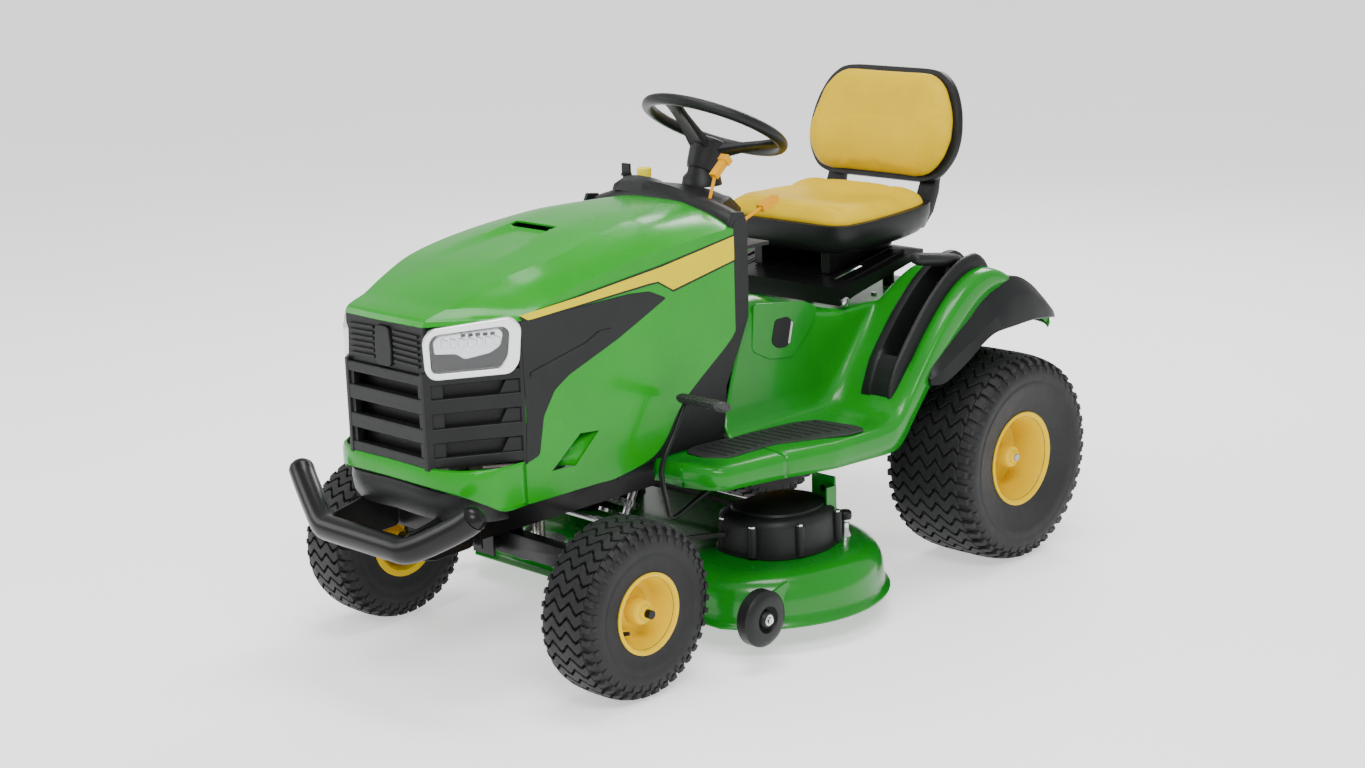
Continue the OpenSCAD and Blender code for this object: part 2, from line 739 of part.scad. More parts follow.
// The two drag links from the sector's arm to the spindle arms
module steering_links() at_origin() color("#8a8c90") {
    inner = sector_arm_end + [0, 0, -26];
    outer_z = arm_z0 + 8 + side_gap;
    x_bar(link_r + 3, -30, 30, inner[1], inner[2]);
    both_sides() {
        rod([16, inner[1], inner[2]], [kingpin_x - 4, front_y + arm_len, outer_z + 8], link_r);
        translate([kingpin_x, front_y + arm_len, outer_z]) cylinder(h = 16, r = 11);
    }
}

// ---- Front axle and spindles ----

module front_axle() at_origin() color("#232426") {
    difference() {
        union() {
            // Arched beam between the kingpin bushes
            front_plate([[-kingpin_x, 240], [-kingpin_x, 285], [-60, 288], [60, 288],
                         [kingpin_x, 285], [kingpin_x, 240], [60, 238], [-60, 238]],
                        front_y - 16, front_y + 16);
            translate([0, front_y + hanger_gap, axle_pivot_z])
                rotate([90, 0, 0]) cylinder(h = 2 * hanger_gap, r = axle_boss_r);
            both_sides() translate([kingpin_x, front_y, bush_z0])
                cylinder(h = bush_z1 - bush_z0, r = 20);
        }
        translate([0, front_y + 100, axle_pivot_z])
            rotate([90, 0, 0]) cylinder(h = 200, r = axle_pivot_r + run_c);
        both_sides() translate([kingpin_x, front_y, bush_z0 - 20])
            cylinder(h = 140, r = kingpin_r + run_c);
    }
}

module spindle() {
    z = front_axle_z;
    hub_end = wheel_x + front_tyre_w / 2 + 3;
    translate([kingpin_x, front_y, z - 16]) cylinder(h = arm_z0 + 8 - z + 16, r = kingpin_r);
    translate([kingpin_x, front_y, z - 18]) cylinder(h = bush_z0 - side_gap - z + 18, r = 19);
    x_bar(stub_r, kingpin_x, hub_end, front_y, z);
    x_bar(15, kingpin_x, wheel_x - 58, front_y, z);
    slab([[kingpin_x - 13, front_y], [kingpin_x - 11, front_y + arm_len],
          [kingpin_x + 11, front_y + arm_len], [kingpin_x + 13, front_y]], arm_z0, arm_z0 + 8);
    translate([kingpin_x, front_y + arm_len, arm_z0]) cylinder(h = 8, r = 11);
    translate([kingpin_x, front_y, bush_z1 + side_gap])
        cylinder(h = arm_z0 + 12 - bush_z1 - side_gap, r = 17);
}

module spindle_left() at_origin() color("#2a2b2d") spindle();
module spindle_right() at_origin() color("#2a2b2d") mirror([1, 0, 0]) spindle();

// ---- Wheels ----

// A pressed rim: two flanges, a barrel, a dished disc and a hub on the stub shaft
module rim(centre, half_w, barrel_r, flange_r, hub_half) {
    bore = stub_r + run_c;
    axle_turned([[-half_w, flange_r], [-half_w, barrel_r - 5], [-half_w + 6, barrel_r - 5],
                 [4, barrel_r - 5], [10, 62], [14, 34], [hub_half, 24], [hub_half, bore],
                 [-hub_half, bore], [-hub_half, 20], [4, 26], [4, 56], [-2, barrel_r - 10],
                 [-half_w + 2, barrel_r - 9], [-half_w - 3, barrel_r - 2], [-half_w - 3, flange_r]],
                centre);
    axle_turned([[-half_w, flange_r], [-half_w, barrel_r], [half_w, barrel_r], [half_w, flange_r],
                 [half_w + 3, flange_r], [half_w + 3, barrel_r - 5], [-half_w - 3, barrel_r - 5],
                 [-half_w - 3, flange_r]], centre);
}

// A tyre with an open inside: crown, shoulders, side walls and beads
module tyre(centre, r, w, bead_r, bead_half) {
    h = w / 2;
    axle_turned([[-h + 26, r], [h - 26, r], [h - 8, r - 14], [h, r - 42], [h - 2, r - 66],
                 [bead_half, bead_r + 14], [bead_half, bead_r], [bead_half - 12, bead_r],
                 [bead_half - 14, bead_r + 16], [h - 13, r - 62], [h - 12, r - 44],
                 [h - 30, r - 20], [-h + 30, r - 20], [-h + 12, r - 44], [-h + 13, r - 62],
                 [-bead_half + 14, bead_r + 16], [-bead_half + 12, bead_r], [-bead_half, bead_r],
                 [-bead_half, bead_r + 14], [-h + 2, r - 66], [-h, r - 42], [-h + 8, r - 14]],
                centre);
}

front_barrel_r = 76;
front_flange_r = 88;
rear_barrel_r = 101.6;
rear_flange_r = 115;
front_rim_half = front_tyre_w / 2 - 8;
rear_rim_half = rear_tyre_w / 2 - 24;

module front_rim(x) {
    rim([x, front_y, front_axle_z], front_rim_half, front_barrel_r, front_flange_r, 55);
}

module front_tyre(x) {
    tyre([x, front_y, front_axle_z], front_tyre_d / 2, front_tyre_w,
         front_barrel_r + seat_gap, front_rim_half - seat_gap);
}

module rear_rim(x) {
    rim([x, rear_y, rear_axle_z], rear_rim_half, rear_barrel_r, rear_flange_r, 80);
}

module rear_tyre(x) {
    tyre([x, rear_y, rear_axle_z], rear_tyre_d / 2, rear_tyre_w,
         rear_barrel_r + seat_gap, rear_rim_half - seat_gap);
}

module front_rim_left() at_origin() color("#f5c400") front_rim(wheel_x);
module front_rim_right() at_origin() color("#f5c400") mirror([1, 0, 0]) front_rim(wheel_x);
module front_tyre_left() at_origin() color("#26272a") front_tyre(wheel_x);
module front_tyre_right() at_origin() color("#26272a") front_tyre(-wheel_x);
module rear_rim_left() at_origin() color("#f5c400") rear_rim(wheel_x);
module rear_rim_right() at_origin() color("#f5c400") mirror([1, 0, 0]) rear_rim(wheel_x);
module rear_tyre_left() at_origin() color("#26272a") rear_tyre(wheel_x);
module rear_tyre_right() at_origin() color("#26272a") rear_tyre(-wheel_x);

module transaxle() at_origin() color("#55575a") {
    z = rear_axle_z;
    box([-88, rear_y - 70, z - 60], [88, rear_y + 62, z + 50]);
    translate([0, rear_y - 20, z + 49]) cylinder(h = 14, r = 40);
    translate([0, rear_y - 20, z + 62]) cylinder(h = 5, r = 60);
    both_sides() {
        x_bar(32, 87, wheel_x - rear_tyre_w / 2 - 18, rear_y, z);
        x_bar(stub_r, 87, wheel_x + 92, rear_y, z);
    }
}

// ---- Hood ----

// The hood runs from a fixed rear edge to a nose that stands ahead of the front axle
hood_rear_y = -101;
hood_length = 808;
hood_stretch = (hood_rear_y - front_y + 289) / hood_length;
hood_spread = hood_half_w / 245;
function hood_y(y) = hood_rear_y + (y - hood_rear_y) * hood_stretch;

// Half of a cross line of the hood, from the centre out and down the side: [x, y, z]
hood_lines = [
    [[0, -909, 803], [66, -907, 803], [127, -900, 801], [185, -815, 800],
     [238, -731, 799], [241, -735, 640], [240, -742, 412]],
    [[0, -850, 829], [70, -848, 829], [135, -840, 828], [190, -765, 826],
     [240, -695, 815], [242, -695, 610], [240, -695, 411]],
    [[0, -780, 860], [75, -778, 859], [152, -770, 857], [200, -710, 848],
     [240, -655, 829], [243, -655, 610], [241, -655, 411]],
    [[0, -690, 890], [80, -688, 889], [172, -685, 884], [210, -640, 868],
     [241, -600, 843], [243, -600, 620], [241, -600, 411]],
    [[0, -580, 918], [85, -580, 916], [183, -578, 903], [215, -560, 880],
     [241, -540, 856], [243, -540, 630], [241, -540, 411]],
    [[0, -471, 940], [85, -471, 937], [168, -471, 922], [212, -471, 898],
     [242, -471, 868], [244, -471, 640], [241, -471, 412]],
    [[0, -354, 949], [82, -354, 947], [148, -354, 937], [206, -354, 914],
     [243, -354, 883], [244, -354, 660], [242, -354, 442]],
    [[0, -271, 950], [80, -271, 948], [135, -271, 941], [200, -271, 919],
     [244, -271, 890], [245, -271, 700], [243, -271, 539]],
    [[0, -133, 948], [80, -133, 946], [120, -133, 942], [188, -133, 925],
     [245, -133, 900], [245, -133, 760], [244, -133, 638]],
    [[0, -101, 940], [80, -101, 938], [118, -101, 933], [182, -101, 921],
     [245, -101, 903], [245, -101, 780], [245, -101, 667]],
];
// The way each of those points moves inward for the wall
hood_inward = [[0, 0, -1], [0, 0, -1], [-0.1, 0, -1], [-0.45, 0, -0.9], [-0.9, 0, -0.5], [-1, 0, 0],
               [-1, 0, 0]];

function hood_point(p) = [p[0] * hood_spread, hood_y(p[1]), p[2]];
function hood_wall(p, j) = hood_point(p) + hood_inward[j] * panel_t;
function mirrored(p) = [-p[0], p[1], p[2]];
function full_line(half) = concat(
    [for (j = [len(half) - 1 : -1 : 1]) half[j]], [for (p = half) mirrored(p)]);
last_line = len(hood_lines) - 1;
function hood_outer() = [for (i = [last_line : -1 : 0])
    full_line([for (p = hood_lines[i]) hood_point(p)])];
function hood_inner() = [for (i = [last_line : -1 : 0])
    full_line([for (j = [0 : 6]) hood_wall(hood_lines[i][j], j)])];

// The chin below the grille, in plan: [x, y, bottom z]
chin_plan = [[0, -909, 468], [112, -906, 466], [205, -868, 447], [240, -800, 411], [241, -738, 411]];
chin_top_z = 506;
function chin_x(p, d) = (p[0] - (p[0] > 150 ? d : 0)) * hood_spread;
function chin_y(p, d) = hood_y(p[1]) + (p[0] < 210 ? d : 0);
function chin_rows(d) = [for (top = [1, 0])
    full_line([for (p = chin_plan) [chin_x(p, d), chin_y(p, d), top == 1 ? chin_top_z : p[2]]])];

nose_x = 127 * hood_spread;
nose_y = hood_y(-900);
side_x = 240 * hood_spread;
side_y = hood_y(-737);
corner_len = norm([side_x - nose_x, side_y - nose_y]);
corner_angle = atan2(side_y - nose_y, side_x - nose_x);
grille_top_z = 795;
lamp_z0 = 688;
lamp_z1 = 793;
lamp_u0 = 16;

// Something drawn on the slanted corner between nose and side: u runs along it, v inward
module on_corner() {
    translate([nose_x, nose_y, 0]) rotate([0, 0, corner_angle]) children();
}

module hood_shell() at_origin() color("#2aa845") {
    difference() {
        sheet(hood_outer(), hood_inner());
        // Air slot across the top
        box([-64, hood_y(-474), 900], [64, hood_y(-462), 960]);
    }
    sheet(chin_rows(0), chin_rows(panel_t));
}

module grille() at_origin() color("#2b2c2e") {
    slot_z = [520, 585, 650];
    grille_z0 = chin_top_z + seat_gap;
    difference() {
        box([-nose_x + 2, nose_y + 1, grille_z0], [nose_x - 2, nose_y + 13, grille_top_z]);
        for (z = slot_z) box([-nose_x + 18, nose_y - 5, z + 8], [nose_x - 18, nose_y + 20, z + 34]);
        for (k = [0 : 3]) both_sides()
            box([52, nose_y - 5, 708 + k * 18], [nose_x - 16, nose_y + 20, 716 + k * 18]);
    }
    both_sides() on_corner() difference() {
        box([2, 1, grille_z0], [corner_len - 6, 13, lamp_z0 - 2]);
        for (z = slot_z) box([38, -5, z + 8], [corner_len - 34, 20, z + 34]);
    }
    both_sides() box([nose_x - 14, nose_y + 3, grille_z0], [nose_x + 3, nose_y + 12, lamp_z0 - 2]);
}

module lamp_bezels() at_origin() color("#d9dcdf") {
    both_sides() on_corner() difference() {
        box([lamp_u0, -1, lamp_z0], [corner_len - 4, 16, lamp_z1]);
        box([lamp_u0 + 9, -5, lamp_z0 + 18], [corner_len - 24, 20, lamp_z1 - 16]);
    }
}

module lamp_lenses() at_origin() color("#eef2f5") {
    both_sides() on_corner()
        box([lamp_u0 + 9 + seat_gap, 2, lamp_z0 + 18 + seat_gap],
            [corner_len - 24 - seat_gap, 12, lamp_z1 - 16 - seat_gap]);
}

module side_inserts() at_origin() color("#1b1c1e") {
    x0 = hood_half_w + seat_gap;
    outline = [[-733, 508], [-722, 600], [-733, 786], [-660, 792], [-367, 797],
               [-320, 778], [-463, 716], [-609, 665], [-650, 640], [-690, 575]];
    both_sides() side_plate([for (p = outline) [hood_y(p[0]), p[1]]], x0, x0 + 3);
}

module side_stripes() at_origin() color("#ffe100") {
    x0 = hood_half_w + seat_gap;
    outline = [[-734, 812], [-715, 798], [-367, 818], [-342, 818], [-297, 793], [-103, 829],
               [-103, 882], [-330, 852]];
    both_sides() side_plate([for (p = outline) [hood_y(p[0]), p[1]]], x0, x0 + 1.5);
}

// ---- Seat ----

seat_pin_r = 6;

module seat_base() at_origin() color("#121314") {
    y0 = seat_hinge_y - 10;
    z0 = seat_hinge_z - 10;
    h = seat_base_half;
    difference() {
        side_plate([[y0, z0], [y0, z0 + 42], [590, 742], [606, 742],
                    [606, 730], [590, 722], [y0 + 60, z0 + 18]], -h, h);
        side_plate([[y0 + 3, z0 - 8], [y0 + 3, z0 + 39], [590, 739],
                    [700, 739], [700, 600], [y0 + 60, 600]], -h + 3, h - 3);
        for (k = [-3 : 3]) box([k * 50 - 7, 345, 600], [k * 50 + 7, 450, 760]);
        both_sides() x_bar(seat_pin_r + run_c, h - 10, h + 10, seat_hinge_y, seat_hinge_z);
    }
    // Springs that carry the rear of the seat on the platform
    both_sides() translate([130, 575, platform_z + 1]) cylinder(h = 738 - platform_z, r = 15);
}

module seat_pan() at_origin() color("#131415") {
    h = seat_half;
    // Moulded shell under the cushion
    difference() {
        side_plate([[312, 752], [312, 800], [640, 822], [668, 810], [656, 776],
                    [636, 758], [590, 745], [350, 742.5]], -h + 6, h - 6);
        side_plate([[316, 756], [316, 830], [632, 840], [680, 840], [650, 779],
                    [632, 763], [588, 750], [350, 747]], -h + 10, h - 10);
    }
    // Two uprights that carry the back shell
    both_sides() side_plate([[640, 790], [636, 770], [668, 774], [716, 890], [776, 1120],
                             [770, 1122], [704, 900]], 72, 104);
    side_plate([[704, 890], [710, 890], [779, 1150], [773, 1150]], -h + 24, h - 24);
    // Two slide rails that bolt it down to the base
    both_sides() side_plate([[360, 708], [360, 744], [560, 748], [570, 760], [570, 740]], 96, 120);
}

module seat_cushion() at_origin() color("#ffd400") {
    h = seat_half;
    side_plate([[310, 802], [306, 840], [330, 872], [400, 884], [560, 872], [640, 892],
                [662, 880], [664, 850], [640, 826]], -h, h);
}

module back_cushion() at_origin() color("#ffd400") {
    lean = atan2(70, 260);
    translate([0, 698, 892]) rotate([-lean, 0, 0])
        front_plate([[-seat_half + 14, 10], [-seat_half, 60], [-seat_half + 6, 150], [-seat_half + 60, 262],
                     [-seat_half + 100, 272], [seat_half - 100, 272], [seat_half - 60, 262],
                     [seat_half - 6, 150], [seat_half, 60], [seat_half - 14, 10], [seat_half - 60, 0],
                     [-seat_half + 60, 0]], -52, -3);
}

// ---- Pedals and lift lever ----

brake_x = 300;
brake_pivot = [0, -235, 350];

// The foot brake: a pad on a bent rod that turns on a cross shaft under the left footrest
module brake_pedal() at_origin() color("#1a1b1c") {
    y = brake_pivot[1];
    bent_tube([[brake_x, y, brake_pivot[2]], [brake_x, y - 139, 308], [brake_x, y - 169, 422],
               [brake_x, y - 89, 552]], 6);
    x_bar(8, rail_x + side_gap, brake_x + 12, y, brake_pivot[2]);
    translate([brake_x - 12, y - 100, 549]) rotate([-30, 0, 0]) cube([118, 40, 17]);
}

pedal_reach = 62;
forward_at = [-285, -188];
reverse_at = [-370, -138];

// One of the two drive pedals on the right footrest: a round pad on a short arm
module drive_pedal(pivot) {
    x = pivot[0];
    y = pivot[1];
    rod([x, y, footrest_z + 18], [x, y - pedal_reach, footrest_z + 46], 5);
    translate([x, y - pedal_reach, footrest_z + 42]) rotate([-24, 0, 0]) cylinder(h = 9, r = 33);
    x_bar(8, x - 14, x + 14, y, footrest_z + 18);
}

module forward_pedal() at_origin() color("#1a1b1c") drive_pedal(forward_at);
module reverse_pedal() at_origin() color("#1a1b1c") drive_pedal(reverse_at);

module lift_lever() at_origin() color("#17181a") {
    top = lift_pivot + lift_arm;
    rod(lift_pivot, top, 7);
    // Grip that lies forward from the arm's top
    front = top + [0, -130, 22];
    rear = top + [0, 42, -8];
    rod(front, rear, lift_grip_r);
    translate(front) sphere(r = lift_grip_r + 1);
    x_bar(14, lift_x - 12, lift_x + 12, lift_pivot[1], lift_pivot[2]);
}

// ---- Cutting deck ----

// Plan of the deck over its skirt: round at the left, straight towards the chute
function arc_points(c, r, a0, a1, n) = [
    for (k = [0 : n]) let (a = a0 + (a1 - a0) * k / n) c + r * [cos(a), sin(a)],
];

deck_left_r = deck_half - blade_x;
deck_front_angle = asin((blade_y - deck_front) / deck_left_r);
function deck_plan(d) = concat(
    arc_points([blade_x, blade_y], deck_left_r - d, -deck_front_angle, 100, 16),
    [[60, blade_y + deck_left_r * 0.93 - d], [-60, blade_y + deck_left_r * 0.93 - d]],
    arc_points([-blade_x, blade_y], deck_left_r - d, 80, 172, 9),
    [[-deck_half + d, blade_y - 60], [-deck_half + 130, deck_front + d],
     [-110, deck_front + d], [0, deck_front + 25 + d], [110, deck_front + d]]);

module deck_shell() at_origin() color("#1f8f3a") {
    t = deck_t;
    difference() {
        union() {
            // Skirt
            slab(deck_plan(deck_rim), deck_skirt_z, deck_top_z);
            slab(deck_plan(0), deck_skirt_z - 4, deck_skirt_z + 6);
        }
        slab(deck_plan(deck_rim + t), deck_skirt_z - 10, deck_top_z - t);
        // Way out to the chute on the right
        box([-deck_half - 20, chute_hinge_y0 + 5, deck_skirt_z - 10],
            [-deck_half + 110, chute_y1, deck_top_z - 24]);
        // Seats of the two blade spindles
        both_sides() translate([blade_x, blade_y, deck_top_z - 20]) cylinder(h = 60, r = 30);
    }
    both_sides() translate([blade_x, blade_y, 0]) difference() {
        union() {
            translate([0, 0, deck_top_z - 40]) cylinder(h = 62, r = 31);
            translate([0, 0, deck_top_z - 0.5]) cylinder(h = 6, r = 55);
        }
        translate([0, 0, 50]) cylinder(h = 260, r = spindle_r + run_c);
    }
    // Hanger brackets up towards the frame
    bracket_x = blade_x + 77;
    both_sides() {
        box([bracket_x, 52, deck_top_z - 1], [bracket_x + 68, 56, 318]);
        box([bracket_x + 64, 20, deck_top_z - 1], [bracket_x + 68, 56, 300]);
    }
    // Wash port
    translate([bracket_x + 40, 96, deck_top_z - 1]) {
        cylinder(h = 34, r = 11);
        translate([0, 0, 33]) cylinder(h = 16, r = 15);
    }
    // Arms that carry the gauge wheels
    for (s = [-1, 1]) {
        x = s * (gauge_x - gauge_w / 2 - 8);
        box([x - 4, gauge_y - 14, gauge_z - 16], [x + 4, blade_y - 150, gauge_z + 30]);
        bolt_end = s * (gauge_x + gauge_w / 2 + 3);
        x_bar(gauge_bolt_r, min(x, bolt_end), max(x, bolt_end), gauge_y, gauge_z);
    }
}

module belt_covers() at_origin() color("#161718") {
    both_sides() translate([blade_x + 62, blade_y, 0]) difference() {
        union() {
            translate([0, 0, deck_top_z + seat_gap]) cylinder(h = 90.5, r = 112);
            translate([0, 0, deck_top_z + 90]) cylinder(h = 16, r1 = 112, r2 = 70);
        }
        translate([0, 0, deck_top_z]) cylinder(h = 86, r = 108);
        translate([-170, -150, deck_top_z]) cube([140, 300, 62]);
    }
}

module blade(x) {
    translate([x, blade_y, 0]) {
        translate([0, 0, blade_z]) {
            translate([-blade_len / 2 + 5, -30, 0]) cube([blade_len - 10, 60, 5]);
            // Raised wing on the trailing edge of each end
            for (a = [0, 180]) rotate([0, 0, a])
                side_plate([[6, 2], [27, 13], [25, 17], [4, 6]], blade_len / 2 - 90, blade_len / 2 - 10);
        }
        translate([0, 0, blade_z - 12]) cylinder(h = 13, r = 16, $fn = 6);
        // Collar, spindle and the pulley on its top
        rotate_extrude() polygon([[0, blade_z + 2], [26, blade_z + 2], [26, blade_z + 17],
            [spindle_r, blade_z + 17], [spindle_r, belt_z - 14], [pulley_r + 6, belt_z - 14],
            [pulley_r - 5, belt_z - 6], [pulley_r - 5, belt_z + 6], [pulley_r + 6, belt_z + 14],
            [spindle_r, belt_z + 14], [spindle_r, belt_z + 26], [0, belt_z + 26]]);
    }
}

module blade_left() at_origin() color("#9a9ca0") blade(blade_x);
module blade_right() at_origin() color("#9a9ca0") blade(-blade_x);

crank_pulley_r = 55;

module crank_pulley() at_origin() color("#b8babd") {
    translate([0, engine_y, 0]) {
        translate([0, 0, belt_z - 22]) cylinder(h = rail_z1 - belt_z + 20, r = 14);
        translate([0, 0, belt_z - 14]) rotate_extrude() polygon([[10, 0], [crank_pulley_r + 6, 0],
            [crank_pulley_r - 5, 8], [crank_pulley_r - 5, 20], [crank_pulley_r + 6, 28], [10, 28]]);
    }
}

belt_half = 5;
belt_r = pulley_r + 1;
crank_belt_r = crank_pulley_r + 1;

// The cutting belt: straight runs and part turns round the three pulleys
module drive_belt() at_origin() color("#111111") {
    c = [0, engine_y];
    l = [blade_x, blade_y];
    d = l - c;
    dist = norm(d);
    lean = atan2(d[1], d[0]) - asin((belt_r - crank_belt_r) / dist);
    turn = lean - 90;
    loop = concat(
        arc_points(c, crank_belt_r, 180 - turn, 360 + turn, 14),
        arc_points(l, belt_r, turn, 90, 10),
        arc_points([-blade_x, blade_y], belt_r, 90, 180 - turn, 10));
    wide = concat(
        arc_points(c, crank_belt_r + 8, 180 - turn, 360 + turn, 14),
        arc_points(l, belt_r + 8, turn, 90, 10),
        arc_points([-blade_x, blade_y], belt_r + 8, 90, 180 - turn, 10));
    difference() {
        slab(wide, belt_z - belt_half, belt_z + belt_half);
        slab(loop, belt_z - belt_half - 1, belt_z + belt_half + 1);
    }
}

module gauge_wheel() {
    r = gauge_d / 2;
    h = gauge_w / 2;
    axle_turned([[-h, r - 10], [-h + 8, r], [h - 8, r], [h, r - 10], [h, r - 18], [4, r - 22],
                 [4, 20], [h, 18], [h, gauge_bolt_r + run_c], [-h, gauge_bolt_r + run_c],
                 [-h, 18], [-4, 20], [-4, r - 22], [-h, r - 18]], [gauge_x, gauge_y, gauge_z]);
}

module gauge_wheel_left() at_origin() color("#18191a") gauge_wheel();
module gauge_wheel_right() at_origin() color("#18191a") mirror([1, 0, 0]) gauge_wheel();

chute_hinge = [-deck_half + 44, 0, deck_top_z + 8];
chute_y1 = chute_hinge_y0 + 195;

// The discharge chute: a sloping hood over the way out, hinged along its top edge
module discharge_chute() at_origin() color("#17181a") {
    x0 = chute_hinge[0];
    x1 = -right_end;
    t = 4;
    y0 = chute_hinge_y0;
    cheek_x = -deck_half - side_gap;
    bend_x = cheek_x - 4;
    front_plate([[x0, deck_top_z + side_gap], [x0, deck_top_z + side_gap + t],
                 [bend_x, deck_top_z + side_gap + t], [x1 + 70, deck_top_z - 22],
                 [x1, 84], [x1, 78], [x1 + 66, deck_top_z - 28], [bend_x, deck_top_z + side_gap]],
                y0, chute_y1 + t);
    for (y = [y0, chute_y1])
        front_plate([[cheek_x, deck_top_z + side_gap + 1], [x1 + 70, deck_top_z - 24],
                     [x1, 80], [x1 + 20, 74], [cheek_x, 74]], y, y + t);
    for (y = [y0 + 20, chute_y1 - 50])
        translate([x0, y + 24, chute_hinge[2]]) rotate([90, 0, 0]) cylinder(h = 24, r = 6);
}

frame_rails();
front_bumper();
front_valance();
engine_block();
blower_housing();
muffler();
battery();
fuel_tank();
fender_body();
foot_mats();
rear_trim();
lift_console();
dash_pedestal();
dash_panel();
transaxle();
drawbar();
fasteners();
crank_pulley();
front_axle();
spindle_left();
spindle_right();
front_rim_left();
front_tyre_left();
front_rim_right();
front_tyre_right();
rear_rim_left();
rear_tyre_left();
rear_rim_right();
rear_tyre_right();
steering_links();
steering_wheel();
steering_shaft();
sector_gear();
hood_shell();
grille();
side_inserts();
lamp_bezels();
lamp_lenses();
side_stripes();
seat_base();
seat_pan();
seat_cushion();
back_cushion();
brake_pedal();
forward_pedal();
reverse_pedal();
throttle_lever();
pto_knob();
park_brake_lever();
ignition_key();
lift_lever();
deck_shell();
belt_covers();
blade_left();
blade_right();
discharge_chute();
gauge_wheel_left();
gauge_wheel_right();
drive_belt();
fuel_cap();
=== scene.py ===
import contextlib
import json
import math

import bmesh
import bpy
from mathutils import Matrix, Vector


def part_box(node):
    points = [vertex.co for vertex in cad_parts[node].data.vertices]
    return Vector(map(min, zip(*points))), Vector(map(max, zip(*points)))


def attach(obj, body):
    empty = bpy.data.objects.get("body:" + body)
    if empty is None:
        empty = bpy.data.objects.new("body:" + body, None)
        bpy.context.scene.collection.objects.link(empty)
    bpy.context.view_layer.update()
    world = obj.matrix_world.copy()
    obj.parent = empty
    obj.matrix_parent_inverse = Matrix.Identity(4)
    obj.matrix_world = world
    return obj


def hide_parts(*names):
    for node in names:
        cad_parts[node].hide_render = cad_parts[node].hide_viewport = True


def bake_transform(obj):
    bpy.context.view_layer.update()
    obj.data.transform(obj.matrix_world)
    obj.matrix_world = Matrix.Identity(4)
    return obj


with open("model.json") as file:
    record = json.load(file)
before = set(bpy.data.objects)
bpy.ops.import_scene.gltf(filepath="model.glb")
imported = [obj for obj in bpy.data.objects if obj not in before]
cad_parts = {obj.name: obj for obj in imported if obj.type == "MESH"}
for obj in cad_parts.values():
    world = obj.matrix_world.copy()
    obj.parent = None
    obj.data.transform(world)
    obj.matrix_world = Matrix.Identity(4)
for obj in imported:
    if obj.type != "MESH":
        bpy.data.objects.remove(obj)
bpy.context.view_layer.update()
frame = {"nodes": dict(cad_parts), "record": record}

nodes = frame["nodes"]
record = frame["record"]
BODY = {n: b for b, members in record["behaviour"]["bodies"].items() for n in members}
SLOT = {s["node"]: s["material_slot"] for s in record["subparts"]}
MM = 0.001


def middle(node):
    low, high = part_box(node)
    return (Vector(low) + Vector(high)) / 2


# The vehicle's own frame: centreline, mid-wheelbase and ground, in millimetres
CENTRE_X = middle("hood_shell").x
CENTRE_Y = (middle("front_tyre_left").y + middle("rear_tyre_left").y) / 2


# Wheel centres: half the track, and half the wheelbase
WHEEL_X = 400
AXLE_Y = 620
# Tyre radius, width and bead radius, in front and at the rear
FRONT_TYRE = (190.5, 148, 76)
REAR_TYRE = (254, 254, 101.6)
# Wall of the moulded and pressed bodywork
WALL = 4
# Middle of the lift lever's slot, and the seat pod's outside
LEVER_X = 372
POD_X = 234
# Each side of the vehicle: its name and the sign of x there
SIDES = (("right", -1), ("left", 1))


def at(x, y, z):
    return Vector((CENTRE_X + x * MM, CENTRE_Y + y * MM, z * MM))


def side_view(u, v, d):
    """A point of an outline drawn from the side as (y, z), at x = d."""
    return at(d, u, v)


def rear_view(u, v, d):
    """A point of an outline drawn from behind as (x, z), at y = d."""
    return at(u, d, v)


def unit(value):
    """The value held between 0 and 1."""
    return max(0.0, min(1.0, value))


def angles(count, shift=0.0):
    """Even steps round a circle, in radians."""
    return [2 * math.pi * (k + shift) / count for k in range(count)]


def mirrored(half):
    """A whole cross line of points from its left half, which runs from the centre outward."""
    left = [at(x, y, z) for x, y, z in half]
    right = [at(-x, y, z) for x, y, z in half]
    return list(reversed(left)) + right[1:]


# ---- Materials ----

def new_material(name):
    mat = bpy.data.materials.new(name)
    mat.use_nodes = True
    tree = mat.node_tree
    return mat, tree, tree.nodes["Principled BSDF"]


def link(tree, a, out, b, into):
    tree.links.new(a.outputs[out], b.inputs[into])


def noise(tree, scale, detail=4.0, rough=0.55):
    coords = tree.nodes.new("ShaderNodeTexCoord")
    tex = tree.nodes.new("ShaderNodeTexNoise")
    tex.inputs["Scale"].default_value = scale
    tex.inputs["Detail"].default_value = detail
    tex.inputs["Roughness"].default_value = rough
    link(tree, coords, "Object", tex, "Vector")
    return tex


def ramp(tree, source, out, low, high, start=0.35, end=0.65):
    node = tree.nodes.new("ShaderNodeValToRGB")
    node.color_ramp.elements[0].position = start
    node.color_ramp.elements[1].position = end
    node.color_ramp.elements[0].color = (*low, 1)
    node.color_ramp.elements[1].color = (*high, 1)
    link(tree, source, out, node, "Fac")
    return node


def set_tint(tree, shader, source, out, low, high):
    link(tree, ramp(tree, source, out, low, high), "Color", shader, "Base Color")


def set_gloss(tree, shader, source, out, low, high):
    node = tree.nodes.new("ShaderNodeMapRange")
    node.inputs["To Min"].default_value = low
    node.inputs["To Max"].default_value = high
    link(tree, source, out, node, "Value")
    link(tree, node, "Result", shader, "Roughness")


def add_bump(tree, shader, source, out, strength, distance):
    node = tree.nodes.new("ShaderNodeBump")
    node.inputs["Strength"].default_value = strength
    node.inputs["Distance"].default_value = distance
    link(tree, source, out, node, "Height")
    link(tree, node, "Normal", shader, "Normal")


def scaled(colour, k):
    return tuple(min(1.0, c * k) for c in colour)


